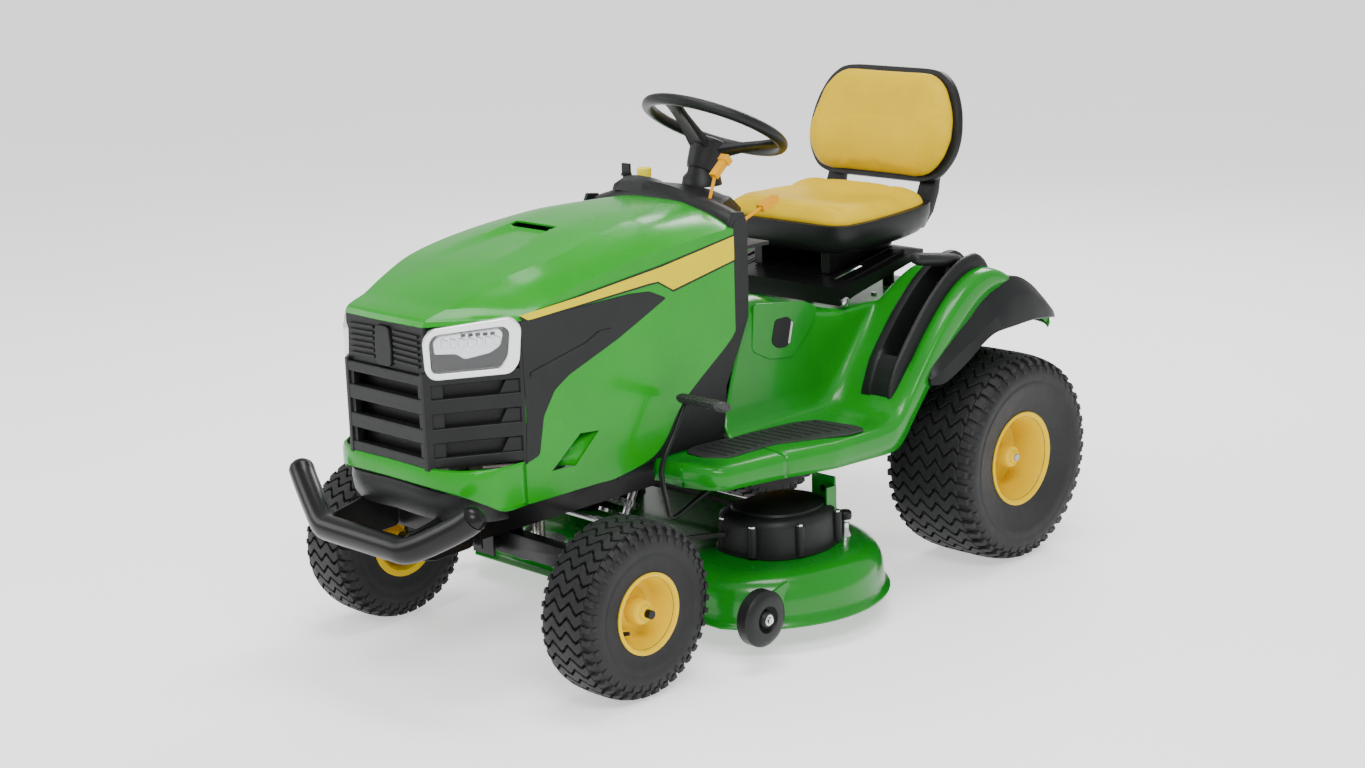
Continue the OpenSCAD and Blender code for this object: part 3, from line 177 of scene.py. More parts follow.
def surface(name, colour, rough, grain_scale, grain, vary=0.08, metallic=0.0, coat=0.0, specular=0.5):
    """Colour that drifts over the surface, uneven gloss, and a fine grain of its own size."""
    mat, tree, shader = new_material(name)
    shader.inputs["Metallic"].default_value = metallic
    shader.inputs["Coat Weight"].default_value = coat
    shader.inputs["Coat Roughness"].default_value = 0.06
    shader.inputs["Specular IOR Level"].default_value = specular
    broad = noise(tree, 7.0)
    set_tint(tree, shader, broad, "Fac", scaled(colour, 1 - vary), scaled(colour, 1 + vary))
    patches = noise(tree, 38.0, 6.0)
    set_gloss(tree, shader, patches, "Fac", rough * 0.8, rough * 1.2)
    fine = noise(tree, grain_scale, 3.0)
    add_bump(tree, shader, fine, "Fac", grain, 0.001)
    return mat


def vinyl(name, colour):
    """Seat vinyl: a leathery cell grain, with painted shade that makes the colour a little darker in its
    creases.
    """
    mat, tree, shader = new_material(name)
    coords = tree.nodes.new("ShaderNodeTexCoord")
    cells = tree.nodes.new("ShaderNodeTexVoronoi")
    cells.feature = "DISTANCE_TO_EDGE"
    cells.inputs["Scale"].default_value = 420.0
    link(tree, coords, "Object", cells, "Vector")
    # painted shade: the colour darkens towards the cells' edges, in the creases of the grain
    painted_crease_shade = ramp(tree, cells, "Distance", scaled(colour, 0.86), colour, 0.0, 0.09)
    cloud = noise(tree, 9.0)
    shade = ramp(tree, cloud, "Fac", (0.9, 0.9, 0.9), (1.0, 1.0, 1.0))
    mix = tree.nodes.new("ShaderNodeMix")
    mix.data_type = "RGBA"
    mix.blend_type = "MULTIPLY"
    mix.inputs["Factor"].default_value = 1.0
    tree.links.new(painted_crease_shade.outputs["Color"], mix.inputs[6])
    tree.links.new(shade.outputs["Color"], mix.inputs[7])
    tree.links.new(mix.outputs[2], shader.inputs["Base Color"])
    set_gloss(tree, shader, cloud, "Fac", 0.34, 0.46)
    shader.inputs["Specular IOR Level"].default_value = 0.06
    add_bump(tree, shader, cells, "Distance", 0.12, 0.0006)
    return mat


def brushed(name, colour, rough):
    """Bare or plated metal with fine drawn lines."""
    mat, tree, shader = new_material(name)
    shader.inputs["Metallic"].default_value = 1.0
    coords = tree.nodes.new("ShaderNodeTexCoord")
    stretch = tree.nodes.new("ShaderNodeMapping")
    stretch.inputs["Scale"].default_value = (30.0, 700.0, 700.0)
    lines = tree.nodes.new("ShaderNodeTexNoise")
    lines.inputs["Scale"].default_value = 1.0
    link(tree, coords, "Object", stretch, "Vector")
    link(tree, stretch, "Vector", lines, "Vector")
    set_tint(tree, shader, lines, "Fac", scaled(colour, 0.85), colour)
    set_gloss(tree, shader, lines, "Fac", rough * 0.7, rough * 1.3)
    add_bump(tree, shader, lines, "Fac", 0.05, 0.0005)
    return mat


def clear(name):
    """Clear moulded lens with faint flow lines."""
    mat, tree, shader = new_material(name)
    shader.inputs["Transmission Weight"].default_value = 1.0
    shader.inputs["IOR"].default_value = 1.46
    wave = noise(tree, 25.0)
    set_tint(tree, shader, wave, "Fac", (0.93, 0.95, 0.97), (1.0, 1.0, 1.0))
    set_gloss(tree, shader, wave, "Fac", 0.01, 0.04)
    add_bump(tree, shader, wave, "Fac", 0.03, 0.001)
    return mat


MATERIAL = {
    "hood_green": surface("hood_green", (0.006, 0.26, 0.008), 0.26, 900, 0.03, 0.05, coat=0.12,
                          specular=0.22),
    "fender_green": surface("fender_green", (0.003, 0.19, 0.008), 0.24, 900, 0.03, 0.06, coat=0.15,
                            specular=0.25),
    "deck_green": surface("deck_green", (0.003, 0.18, 0.008), 0.22, 500, 0.06, 0.07, coat=0.2, specular=0.3),
    "black_plastic": surface("black_plastic", (0.009, 0.0095, 0.01), 0.4, 1600, 0.25, 0.15, specular=0.25),
    "black_steel": surface("black_steel", (0.005, 0.005, 0.0055), 0.3, 700, 0.04, 0.1, coat=0.04,
                           specular=0.22),
    "rim_yellow": surface("rim_yellow", (0.76, 0.5, 0.0), 0.35, 700, 0.04, 0.05, coat=0.04, specular=0.08),
    "stripe_yellow": surface("stripe_yellow", (0.7, 0.56, 0.0), 0.45, 1200, 0.04, 0.03, specular=0.04),
    "seat_yellow": vinyl("seat_yellow", (0.68, 0.45, 0.0)),
    "tyre": surface("tyre", (0.014, 0.014, 0.015), 0.55, 1100, 0.35, 0.22, specular=0.25),
    "mat_rubber": surface("mat_rubber", (0.014, 0.014, 0.015), 0.5, 1500, 0.4, 0.15),
    "belt_rubber": surface("belt_rubber", (0.02, 0.019, 0.018), 0.6, 1500, 0.4, 0.2),
    "engine_alloy": surface("engine_alloy", (0.36, 0.37, 0.39), 0.45, 900, 0.3, 0.1, metallic=0.9),
    "bare_steel": brushed("bare_steel", (0.55, 0.55, 0.56), 0.28),
    "zinc": brushed("zinc", (0.72, 0.72, 0.74), 0.25),
    "muffler_steel": brushed("muffler_steel", (0.3, 0.27, 0.24), 0.45),
    "lamp_chrome": surface("lamp_chrome", (0.86, 0.87, 0.89), 0.1, 300, 0.02, 0.03, metallic=0.55),
    "lens": clear("lens"),
    "tank_plastic": surface("tank_plastic", (0.75, 0.74, 0.68), 0.45, 700, 0.1, 0.05),
    "lever_orange": surface("lever_orange", (0.75, 0.33, 0.0), 0.4, 900, 0.06, 0.05, specular=0.1),
    "knob_yellow": surface("knob_yellow", (0.93, 0.78, 0.01), 0.3, 900, 0.06, 0.05),
}


# ---- Mesh helpers ----

@contextlib.contextmanager
def edited(mesh):
    """The mesh opened for editing, and written back afterwards."""
    bm = bmesh.new()
    bm.from_mesh(mesh)
    yield bm
    bm.to_mesh(mesh)
    bm.free()


def new_object(name, data):
    obj = bpy.data.objects.new(name, data)
    bpy.context.scene.collection.objects.link(obj)
    return obj


def mesh_piece(name, verts, faces, node, material=None, stands=False, sharp=35.0, edge=None):
    """A mesh piece from points in metres, on the node's body, which may stand in for the node.

    edge is its bevel's width in millimetres and number of segments.
    """
    mesh = bpy.data.meshes.new(name)
    mesh.from_pydata([tuple(v) for v in verts], [], faces)
    with edited(mesh) as bm:
        bmesh.ops.remove_doubles(bm, verts=bm.verts, dist=1e-6)
        bmesh.ops.recalc_face_normals(bm, faces=bm.faces)
    obj = new_object(name, mesh)
    dress(obj, node, material, stands, sharp)
    return bevel(obj, *edge) if edge else obj


def dress(obj, node, material=None, stands=False, sharp=35.0):
    slot_name = material or SLOT[node]
    obj.data.materials.clear()
    obj.data.materials.append(MATERIAL[slot_name])
    obj.data.shade_smooth()
    obj.data.set_sharp_from_angle(angle=math.radians(sharp))
    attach(obj, BODY[node])
    if stands:
        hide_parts(node)
    return obj


def bevel(obj, width, segments=2):
    mod = obj.modifiers.new("edges", "BEVEL")
    mod.width = width * MM
    mod.segments = segments
    mod.limit_method = "ANGLE"
    mod.angle_limit = math.radians(35.0)
    mod.harden_normals = True
    return obj


def thicken(obj, wall):
    mod = obj.modifiers.new("wall", "SOLIDIFY")
    mod.thickness = wall * MM
    mod.offset = -1.0
    return obj


def apply_modifiers(obj):
    bpy.context.view_layer.update()
    graph = bpy.context.evaluated_depsgraph_get()
    mesh = bpy.data.meshes.new_from_object(obj.evaluated_get(graph))
    obj.modifiers.clear()
    obj.data = mesh
    return obj


def cut(obj, cutters, sharp):
    """Takes the cutters out of the object, then removes them."""
    for cutter in cutters:
        mod = obj.modifiers.new("opening", "BOOLEAN")
        mod.object = cutter
        mod.solver = "EXACT"
    apply_modifiers(obj)
    for cutter in cutters:
        bpy.data.objects.remove(cutter)
    obj.data.shade_smooth()
    obj.data.set_sharp_from_angle(angle=math.radians(sharp))


def refined(node, width=1.5, segments=2):
    """A copy of a CAD node with its facets joined and its edges rounded, standing for it."""
    bm = bmesh.new()
    bm.from_mesh(nodes[node].data)
    bmesh.ops.remove_doubles(bm, verts=bm.verts, dist=1e-5)
    bmesh.ops.dissolve_limit(bm, angle_limit=math.radians(0.6), verts=bm.verts, edges=bm.edges)
    mesh = bpy.data.meshes.new(node + "_skin")
    bm.to_mesh(mesh)
    bm.free()
    obj = new_object(node + "_skin", mesh)
    dress(obj, node, stands=True)
    return bevel(obj, width, segments)


def grid_faces(rows, cols, wrap=False, start=0):
    faces = []
    last = cols if wrap else cols - 1
    for i in range(rows - 1):
        for j in range(last):
            k = (j + 1) % cols
            faces.append((start + i * cols + j, start + i * cols + k, start + (i + 1) * cols + k,
                          start + (i + 1) * cols + j))
    return faces


def loft(name, rows, node, wrap=True, caps=True, **kwargs):
    """A skin over rows of points, each row the same length."""
    cols = len(rows[0])
    verts = [p for row in rows for p in row]
    faces = grid_faces(len(rows), cols, wrap)
    if caps:
        faces.append(tuple(range(cols)))
        faces.append(tuple(reversed(range((len(rows) - 1) * cols, len(rows) * cols))))
    return mesh_piece(name, verts, faces, node, **kwargs)


def spline(points, per):
    """Catmull-Rom through the points, with per steps to each span."""
    pts = [Vector(p) for p in points]
    ends = [2 * pts[0] - pts[1]] + pts + [2 * pts[-1] - pts[-2]]
    out = []
    for i in range(1, len(ends) - 2):
        a, b, c, d = ends[i - 1:i + 3]
        for k in range(per):
            t = k / per
            out.append(0.5 * (2 * b + (c - a) * t + (2 * a - 5 * b + 4 * c - d) * t * t
                              + (3 * b - a - 3 * c + d) * t ** 3))
    out.append(pts[-1])
    return out


def curve_at(table, x):
    """Smooth value of a short table of (x, value) pairs, flat beyond its ends."""
    if x <= table[0][0]:
        return table[0][1]
    for (x0, v0), (x1, v1) in zip(table, table[1:]):
        if x <= x1:
            t = (x - x0) / (x1 - x0)
            return v0 + (v1 - v0) * t
    return table[-1][1]


def tube(name, points, radius, node, per=6, sides=16, closed=False, **kwargs):
    """A round tube through the points, in vehicle millimetres, with rounded bends."""
    path = [at(*p) for p in (spline(points, per) if per > 1 else points)]
    rows = []
    side = None
    for i, p in enumerate(path):
        ahead = path[min(i + 1, len(path) - 1)] - path[max(i - 1, 0)]
        ahead.normalize()
        if side is None:
            side = ahead.orthogonal().normalized()
        side = (side - ahead * side.dot(ahead)).normalized()
        up = ahead.cross(side)
        rows.append([p + (side * math.cos(a) + up * math.sin(a)) * radius * MM for a in angles(sides)])
    return loft(name, rows, node, **kwargs)


def turned_faces(segs, n):
    """Faces of a closed profile of n points that is repeated round a circle."""
    return [(k * n + j, k * n + (j + 1) % n, ((k + 1) % segs) * n + (j + 1) % n,
             ((k + 1) % segs) * n + j) for k in range(segs) for j in range(n)]


def lathe(name, profile, centre, node, segs=96, axis="X", **kwargs):
    """A closed profile of (along, radius) turned about an axis through centre."""
    verts = []
    for a in angles(segs):
        for along, r in profile:
            c, s = r * math.cos(a), r * math.sin(a)
            if axis == "X":
                offset = (along, c, s)
            elif axis == "Y":
                offset = (s, along, c)
            else:
                offset = (c, s, along)
            verts.append(at(*(Vector(centre) + Vector(offset))))
    return mesh_piece(name, verts, turned_faces(segs, len(profile)), node, **kwargs)


def plate(name, outline, depth, place, node, **kwargs):
    """An outline of (u, v) extruded between two depths; place(u, v, d) gives the point."""
    n = len(outline)
    verts = [place(u, v, d) for d in depth for u, v in outline]
    faces = [tuple(range(n)), tuple(reversed(range(n, 2 * n)))]
    faces += [(k, (k + 1) % n, n + (k + 1) % n, n + k) for k in range(n)]
    return mesh_piece(name, verts, faces, node, **kwargs)


def block(name, low, high, node, **kwargs):
    """A box between two corners, which may be given with their x the other way round."""
    x0, x1 = sorted((low[0], high[0]))
    y0, z0 = low[1:]
    y1, z1 = high[1:]
    return plate(name, rect(x0, y0, x1, y1), (z0, z1), at, node, **kwargs)


def rect(u0, v0, u1, v1):
    return [(u0, v0), (u1, v0), (u1, v1), (u0, v1)]


def rounded(points, radius, per=5):
    """An outline with each corner rounded by a curve of about that radius."""
    out = []
    n = len(points)
    for i in range(n):
        p = Vector(points[i])
        a = Vector(points[i - 1]) - p
        b = Vector(points[(i + 1) % n]) - p
        ra = min(radius, a.length * 0.45)
        rb = min(radius, b.length * 0.45)
        start = p + a.normalized() * ra
        end = p + b.normalized() * rb
        for k in range(per + 1):
            t = k / per
            out.append(tuple(start * (1 - t) ** 2 + p * 2 * t * (1 - t) + end * t * t))
    return out


def both(make):
    for name, side in reversed(SIDES):
        make(name, side)


# ---- Wheels ----

def lug(cells, verts, faces, r, drop, centre, side):
    """One tread block from its outline of (around, across) in millimetres."""
    base = len(verts)
    n = len(cells)
    mid_a = sum(c[0] for c in cells) / n
    mid_b = sum(c[1] for c in cells) / n
    for grow, depth in ((1.12, 11.0), (1.0, 0.8), (0.9, 0.0)):
        for a, b in cells:
            across = mid_b + (b - mid_b) * grow
            angle = (mid_a + (a - mid_a) * grow) / r
            radius = r - depth - drop(across)
            verts.append(at(centre[0] + side * across, centre[1] + radius * math.sin(angle),
                            centre[2] + radius * math.cos(angle)))
    for layer in (0, 1):
        for k in range(n):
            m = (k + 1) % n
            faces.append((base + layer * n + k, base + layer * n + m, base + (layer + 1) * n + m,
                          base + (layer + 1) * n + k))
    faces.append(tuple(base + 2 * n + k for k in range(n)))


def tyre_piece(node, side, wheel_y, size, rim_half, count, columns):
    """A tyre with count tread blocks round it in each column."""
    r, w, bead_r = size
    centre = (side * WHEEL_X, wheel_y, r)
    h = w / 2

    def drop(b):
        return 16.0 * (abs(b) / h) ** 4

    crown = [(b, r - 9 - drop(b)) for b in [h * k / 8 for k in range(-7, 8)]]
    wall = [(h - 3, r - 32), (h - 1, r - 44), (h - 1.5, r - 56), (h - 4, r - 64), (h - 3, r - 66),
            (h - 8, r - 78), (rim_half + 1, bead_r + 16), (rim_half - 1, bead_r + 6),
            (rim_half - 3, bead_r + 0.5), (rim_half - 14, bead_r + 1), (rim_half - 16, bead_r + 14),
            (h - 22, r - 60), (h - 30, r - 28)]
    profile = crown + wall + [(-a, b) for a, b in reversed(wall)]
    lathe(node + "_carcass", profile, centre, node, 96, stands=True, sharp=50.0)
    verts = []
    faces = []
    pitch = 2 * math.pi * r / count
    step = 2 * h * 0.74 / columns
    for k in range(count):
        for c in range(columns):
            b0 = (c - (columns - 1) / 2) * step
            a0 = (k + 0.5 * (c % 2)) * pitch
            la, lb, v = pitch * 0.36, step * 0.54, pitch * 0.24
            flip = 1 if c % 2 == 0 else -1
            lug([(a0 - la + flip * v, b0 - lb), (a0 - la - flip * v * 0.4, b0),
                 (a0 - la + flip * v, b0 + lb), (a0 + la + flip * v, b0 + lb),
                 (a0 + la - flip * v * 0.4, b0), (a0 + la + flip * v, b0 - lb)], verts, faces, r, drop,
                centre, side)
        for s in (-1, 1):
            a0 = (k + 0.5) * pitch
            edge = step * columns / 2 + step * 0.12
            lug([(a0 - pitch * 0.2, s * edge), (a0 - pitch * 0.3, s * h * 0.93),
                 (a0 + pitch * 0.12, s * h * 0.93), (a0 + pitch * 0.26, s * edge)], verts, faces, r, drop,
                centre, side)
            lug([(a0 - pitch * 0.26, s * h * 0.9), (a0 - pitch * 0.22, s * h * 0.985),
                 (a0 + pitch * 0.1, s * h * 0.985), (a0 + pitch * 0.1, s * h * 0.9)], verts, faces, r - 6,
                lambda b: drop(b) + 6, centre, side)
    mesh_piece(node + "_tread", verts, faces, node, sharp=25.0)


def rim_piece(node, side, wheel_y, size, flange, half, hub_half):
    """A dished rim with its hub, the cap on its end and the valve."""
    wheel_z, barrel = size[0], size[2]
    centre = (side * WHEEL_X, wheel_y, wheel_z)
    face = [(half + 3, flange), (half + 4.5, flange - 3), (half + 3, flange - 8), (half - 3, barrel + 1),
            (half - 12, barrel - 3), (half - 30, barrel - 8), (16, barrel - 13), (11, barrel - 19),
            (10, barrel - 28), (13, 44), (20, 36), (24, 30), (hub_half - 8, 27), (hub_half - 2, 25),
            (hub_half, 22), (hub_half, 10.5)]
    back = [(-hub_half, 10.5), (-hub_half, 20), (0, 28), (4, 44), (2, barrel - 30), (-6, barrel - 14),
            (-half + 4, barrel - 9), (-half - 3, barrel - 2), (-half - 3, flange), (-half, flange),
            (-half, barrel - 0.5), (half - 6, barrel - 0.5), (half, flange)]
    profile = [(side * a, r) for a, r in face + back]
    lathe(node + "_dish", profile, centre, node, 72, stands=True, sharp=40.0)
    # Cap on the end of the stub shaft, and the valve stem
    cap = [(hub_half - 2, 0.1), (hub_half - 2, 17), (hub_half + 4, 16), (hub_half + 8, 12),
           (hub_half + 9, 0.1)]
    lathe(node + "_cap", [(side * a, r) for a, r in cap], centre, node, 32, sharp=50.0)
    stem_r = barrel - 20
    turn = math.radians(215)
    y = wheel_y + math.sin(turn) * stem_r
    z = wheel_z + math.cos(turn) * stem_r
    tube(node + "_valve", [(side * (WHEEL_X + 8), y, z), (side * (WHEEL_X + 22), y, z),
                           (side * (WHEEL_X + 36), y + 2, z + 4)], 4.5, node, 4, 12, material="tyre")


def wheels(name, side):
    tyre_piece("front_tyre_" + name, side, -AXLE_Y, FRONT_TYRE, 66, 40, 5)
    rim_piece("front_rim_" + name, side, -AXLE_Y, FRONT_TYRE, 88, 66, 55)
    tyre_piece("rear_tyre_" + name, side, AXLE_Y, REAR_TYRE, 103, 44, 8)
    rim_piece("rear_rim_" + name, side, AXLE_Y, REAR_TYRE, 115, 103, 80)
    centre = (side * 513, -330, 112)
    half = 22
    profile = [(half, 30), (half, 46), (half - 4, 57), (half - 10, 62.5), (-half + 10, 62.5),
               (-half + 4, 57), (-half, 46), (-half + 4, 34), (0, 30), (0, 20), (-half, 17), (-half, 7),
               (half + 2, 7), (half + 2, 15), (half - 2, 19), (4, 22), (6, 30), (half - 6, 41),
               (half - 2, 42)]
    lathe("gauge_wheel_%s_roller" % name, [(side * a, r) for a, r in profile], centre,
          "gauge_wheel_" + name, 64, stands=True)
    bolt = [(half + 1, 0.1), (half + 1, 11), (half + 3, 12), (half + 3, 8), (half + 9, 7), (half + 10, 0.1)]
    lathe("gauge_bolt_" + name, [(side * a, r) for a, r in bolt], centre, "deck_shell", 24, material="zinc")


# ---- Hood ----

# Half cross lines of the hood from its lip to its rear: (x, y, z) from the centre outward
HOOD_LINES = [
    [(0, -909, 803), (66, -907, 803), (127, -900, 801), (185, -815, 800), (238, -731, 799),
     (241, -735, 640), (240, -742, 412)],
    [(0, -896, 818), (66, -894, 818), (129, -887, 816), (186, -804, 812), (239, -722, 806),
     (241, -722, 630), (240, -722, 411)],
    [(0, -850, 833), (70, -848, 832), (135, -840, 830), (190, -765, 826), (240, -695, 815),
     (242, -695, 610), (240, -695, 411)],
    [(0, -780, 862), (75, -778, 861), (152, -770, 858), (200, -710, 848), (240, -655, 829),
     (243, -655, 610), (241, -655, 411)],
    [(0, -690, 892), (80, -688, 890), (172, -685, 884), (210, -640, 868), (241, -600, 843),
     (243, -600, 620), (241, -600, 411)],
    [(0, -580, 919), (85, -580, 916), (183, -578, 903), (215, -560, 880), (241, -540, 856),
     (243, -540, 630), (241, -540, 411)],
    [(0, -471, 938), (85, -471, 936), (168, -471, 922), (212, -471, 898), (242, -471, 868),
     (244, -471, 640), (241, -471, 412)],
    [(0, -354, 949), (82, -354, 947), (148, -354, 937), (206, -354, 914), (243, -354, 883),
     (244, -354, 660), (242, -354, 442)],
    [(0, -271, 951), (80, -271, 949), (135, -271, 941), (200, -271, 920), (244, -271, 890),
     (245, -271, 700), (243, -271, 539)],
    [(0, -133, 948), (80, -133, 946), (120, -133, 940), (188, -133, 924), (245, -133, 900),
     (245, -133, 760), (244, -133, 638)],
    [(0, -103, 946), (80, -103, 944), (118, -103, 937), (182, -103, 922), (245, -103, 898),
     (245, -103, 780), (245, -103, 667)],
]


def hood_half_row(points):
    """The half cross line, filled in: a crowned top, the shoulder facet and the side."""
    p = [Vector(q) for q in points]
    top = spline([Vector((-p[1].x, p[1].y, p[1].z)), p[0], p[1], p[2]], 5)[5:]
    shoulder = spline([p[2], p[3], p[4]], 5)
    side = spline([p[4], p[5], p[6]], 9)
    return top + shoulder[1:] + side[1:]


def hood_rows():
    lines = [[Vector(p) for p in line] for line in HOOD_LINES]
    columns = [[line[j] for line in lines] for j in range(7)]
    fine = []
    for column in columns:
        lip = [column[0], column[1], column[2]]
        body = spline(column[2:], 6)
        fine.append(spline(lip, 3)[:-1] + body)
    return [hood_half_row([fine[j][i] for j in range(7)]) for i in range(len(fine[0]))]


def scoop(x, y):
    """Depth of the air scoop pressed into the hood's top, ending at the slot."""
    if not -700 < y < -471:
        return 0.0
    t = (y + 700) / 229
    half = 82 - 18 * t
    edge = unit((half - abs(x)) / 14)
    return 13.0 * t * edge * edge * (3 - 2 * edge)


def hood():
    rows = [mirrored([(p.x, p.y, p.z - scoop(p.x, p.y)) for p in row]) for row in hood_rows()]
    obj = loft("hood_skin", rows, "hood_shell", wrap=False, caps=False, stands=True, sharp=14.0)
    thicken(obj, WALL)
    # Openings: the air slot and the two side vents
    cutters = [block("cut_slot", (-66, -482, 880), (66, -464, 990), "hood_shell")]
    for s in (-1, 1):
        outline = [(-584, 532), (-668, 468), (-600, 465), (-530, 527)]
        cutters.append(plate("cut_vent_%d" % s, outline, (s * 200, s * 260), side_view, "hood_shell"))
    cut(obj, cutters, 14)
    # Sloping green faces, and black sheets behind the side vents as painted shade
    for s in (-1, 1):
        verts = [at(s * 238, -530, 527), at(s * 238, -600, 465), at(s * 205, -655, 468),
                 at(s * 205, -578, 532)]
        obj = mesh_piece("vent_slope_%d" % s, verts, [(0, 1, 2, 3)], "hood_shell")
        thicken(obj, 2)
        # painted shade: a black sheet inside the hood stands for the dark behind the vent
        verts = [at(s * 204, -575, 540), at(s * 204, -520, 540), at(s * 204, -600, 455),
                 at(s * 204, -690, 455)]
        obj = mesh_piece("vent_painted_shade_%d" % s, verts, [(0, 1, 2, 3)], "hood_shell", material="black_plastic")
        thicken(obj, 2)
    chin()


CHIN = [(0, -912, 468), (112, -909, 466), (170, -893, 458), (205, -870, 447), (228, -835, 428),
        (240, -800, 411), (241, -738, 411)]


def chin():
    """The green band under the grille that turns the corners into the sides."""
    rows = []
    path = spline(CHIN, 4)
    full = [Vector((-p.x, p.y, p.z)) for p in reversed(path)][:-1] + path
    for t, out in ((0.0, -3.0), (0.08, 0.0), (0.75, 0.0), (0.93, -3.0), (1.0, -9.0)):
        row = []
        for p in full:
            top = 508 - 3 * abs(p.x) / 241
            corner = unit((-p.y - 800) / 60)
            inward = Vector((-p.x / 241, -p.y / 900, 0)).normalized()
            z = p.z + (top - p.z) * t
            row.append(at(p.x - inward.x * out * corner, p.y - inward.y * out * corner, z))
        rows.append(row)
    obj = loft("hood_chin", rows, "hood_shell", wrap=False, caps=False)
    thicken(obj, WALL)


def side_x(y):
    """Outside of the hood's side wall at a place along it."""
    return 241.5 + 3.7 * unit((y + 735) / 463)


def on_side(s):
    """Places (y, z, distance outward) on the hood's side."""
    def place(u, v, d):
        return at(s * (side_x(u) + d), u, v)
    return place


def side_details(name, side):
    insert = [(-737, 500), (-731, 600), (-737, 801), (-660, 800), (-430, 806), (-367, 801), (-318, 779),
              (-463, 716), (-609, 664), (-650, 640), (-684, 590), (-700, 510)]
    plate("side_insert_" + name, rounded(insert, 8, 3), (-3.0, 0.9), on_side(side), "side_inserts",
          stands=side > 0, edge=(0.8, 2))
    block("corner_strip_" + name, (side * 234.0, -743, 498), (side * 241.4, -732, 800), "side_inserts",
          edge=(1.5, 2))
    ridge = [(-716, 690), (-560, 724), (-520, 742), (-480, 742), (-520, 729), (-560, 712), (-716, 678)]
    plate("side_ridge_" + name, rounded(ridge, 5, 3), (0.0, 2.6), on_side(side), "side_inserts",
          edge=(1.2, 2))
    border = [(-741, 810), (-716, 795), (-366, 815), (-341, 815), (-296, 789), (-101, 825), (-101, 886),
              (-330, 853), (-560, 828)]
    plate("stripe_border_" + name, border, (-0.5, 0.45), on_side(side), "side_stripes",
          material="black_plastic")
    stripe = [(-737, 812), (-715, 799), (-367, 819), (-342, 819), (-297, 793.5), (-103, 829), (-103, 882),
              (-330, 849), (-560, 825)]
    plate("stripe_" + name, stripe, (-0.5, 0.9), on_side(side), "side_stripes", stands=side > 0)


NOSE = Vector((127, -900))
SIDE = Vector((240, -737))
CORNER = (SIDE - NOSE).length


def on_corner(s):
    """Places (u along the slanted corner, z, d inward) on the left or right corner."""
    along = (SIDE - NOSE).normalized()
    inward = Vector((-along.y, along.x))

    def place(u, v, d):
        p = NOSE + along * u + inward * d
        return at(s * p.x, p.y, v)
    return place


def on_front(u, v, d):
    return at(u, -900 + d, v)


def hollow_plate(name, outer, inner, depth, place, node, **kwargs):
    """A ring between two outlines that have the same number of points."""
    n = len(outer)
    verts = [place(u, v, d) for d in depth for ring in (outer, inner) for u, v in ring]
    faces = []
    for k in range(n):
        m = (k + 1) % n
        faces.append((k, m, n + m, n + k))
        faces.append((2 * n + k, 3 * n + k, 3 * n + m, 2 * n + m))
        faces.append((k, 2 * n + k, 2 * n + m, m))
        faces.append((n + k, n + m, 3 * n + m, 3 * n + k))
    return mesh_piece(name, verts, faces, node, **kwargs)


def grille():
    node = "grille"
    back = rect(-125, 495, 125, 690)
    slots = ((526, 556), (588, 618), (650, 678))
    # Dark well behind every slot
    plate("grille_well", back, (26, 28), on_front, node, stands=True)
    # Wide bars between the slots
    bars = [(503, 526, -6), (556, 588, -7), (618, 650, -7), (678, 700, -7)]
    for k, (z0, z1, out) in enumerate(bars):
        plate("grille_bar_%d" % k, rect(-126, z0, 126, z1), (out, 14), on_front,
              node, edge=(3.5, 3))
    for side, s in SIDES:
        place = on_corner(s)
        for z0, z1 in slots:
            plate("grille_end_%s_%d" % (side, z0), rect(s * 106, z0 - 3, s * 127, z1 + 3), (-3, 14),
                  on_front, node)
        # Post on the nose corner
        verts = [at(s * 118, -908, 500), at(s * 130, -907, 500), at(s * 137, -893, 500),
                 at(s * 118, -884, 500), at(s * 118, -908, 706), at(s * 130, -907, 706),
                 at(s * 137, -893, 706), at(s * 118, -884, 706)]
        faces = [(0, 1, 2, 3), (4, 5, 6, 7), (0, 1, 5, 4), (1, 2, 6, 5), (2, 3, 7, 6), (3, 0, 4, 7)]
        bevel(mesh_piece("grille_post_" + side, verts, faces, node), 2.5, 3)
        plate("corner_well_" + side, rect(0, 498, CORNER - 6, 695), (18, 20),
              place, node)
        for k, (z0, z1, out) in enumerate(bars):
            outline = [(4, z0), (CORNER - 3, z0 + 4), (CORNER - 3, z1 + 4), (4, z1)]
            plate("corner_bar_%s_%d" % (side, k), outline, (out + 2, 14), place, node, edge=(3.5, 3))
        for z0, z1 in slots:
            for u0, u1, lean in ((4, 36, 0), (CORNER - 52, CORNER - 4, 18)):
                outline = [(u0, z0 - 3), (u1, z0 - 3), (u1, z1 + 3), (u0 + lean, z1 + 3)]
                plate("corner_end_%s_%d_%d" % (side, z0, u0), outline, (1, 14), place, node, edge=(2, 2))
        for k in range(6):
            z = 716 + k * 12.5
            outline = [(s * 32, z), (s * 112, z - 2), (s * 112, z + 4), (s * 32, z + 6)]
            plate("louvre_%s_%d" % (side, k), outline, (-3, 8), on_front, node, edge=(1.2, 2))
    upper = [(-128, 700), (128, 700), (128, 801), (-128, 803)]
    plate("grille_upper", upper, (2, 12), on_front, node, edge=(2, 2))
    shield = rounded([(-24, 705), (24, 705), (27, 745), (22, 790), (-22, 790), (-27, 745)], 10, 4)
    plate("grille_shield", shield, (-5, 4), on_front, node, edge=(2.5, 3))


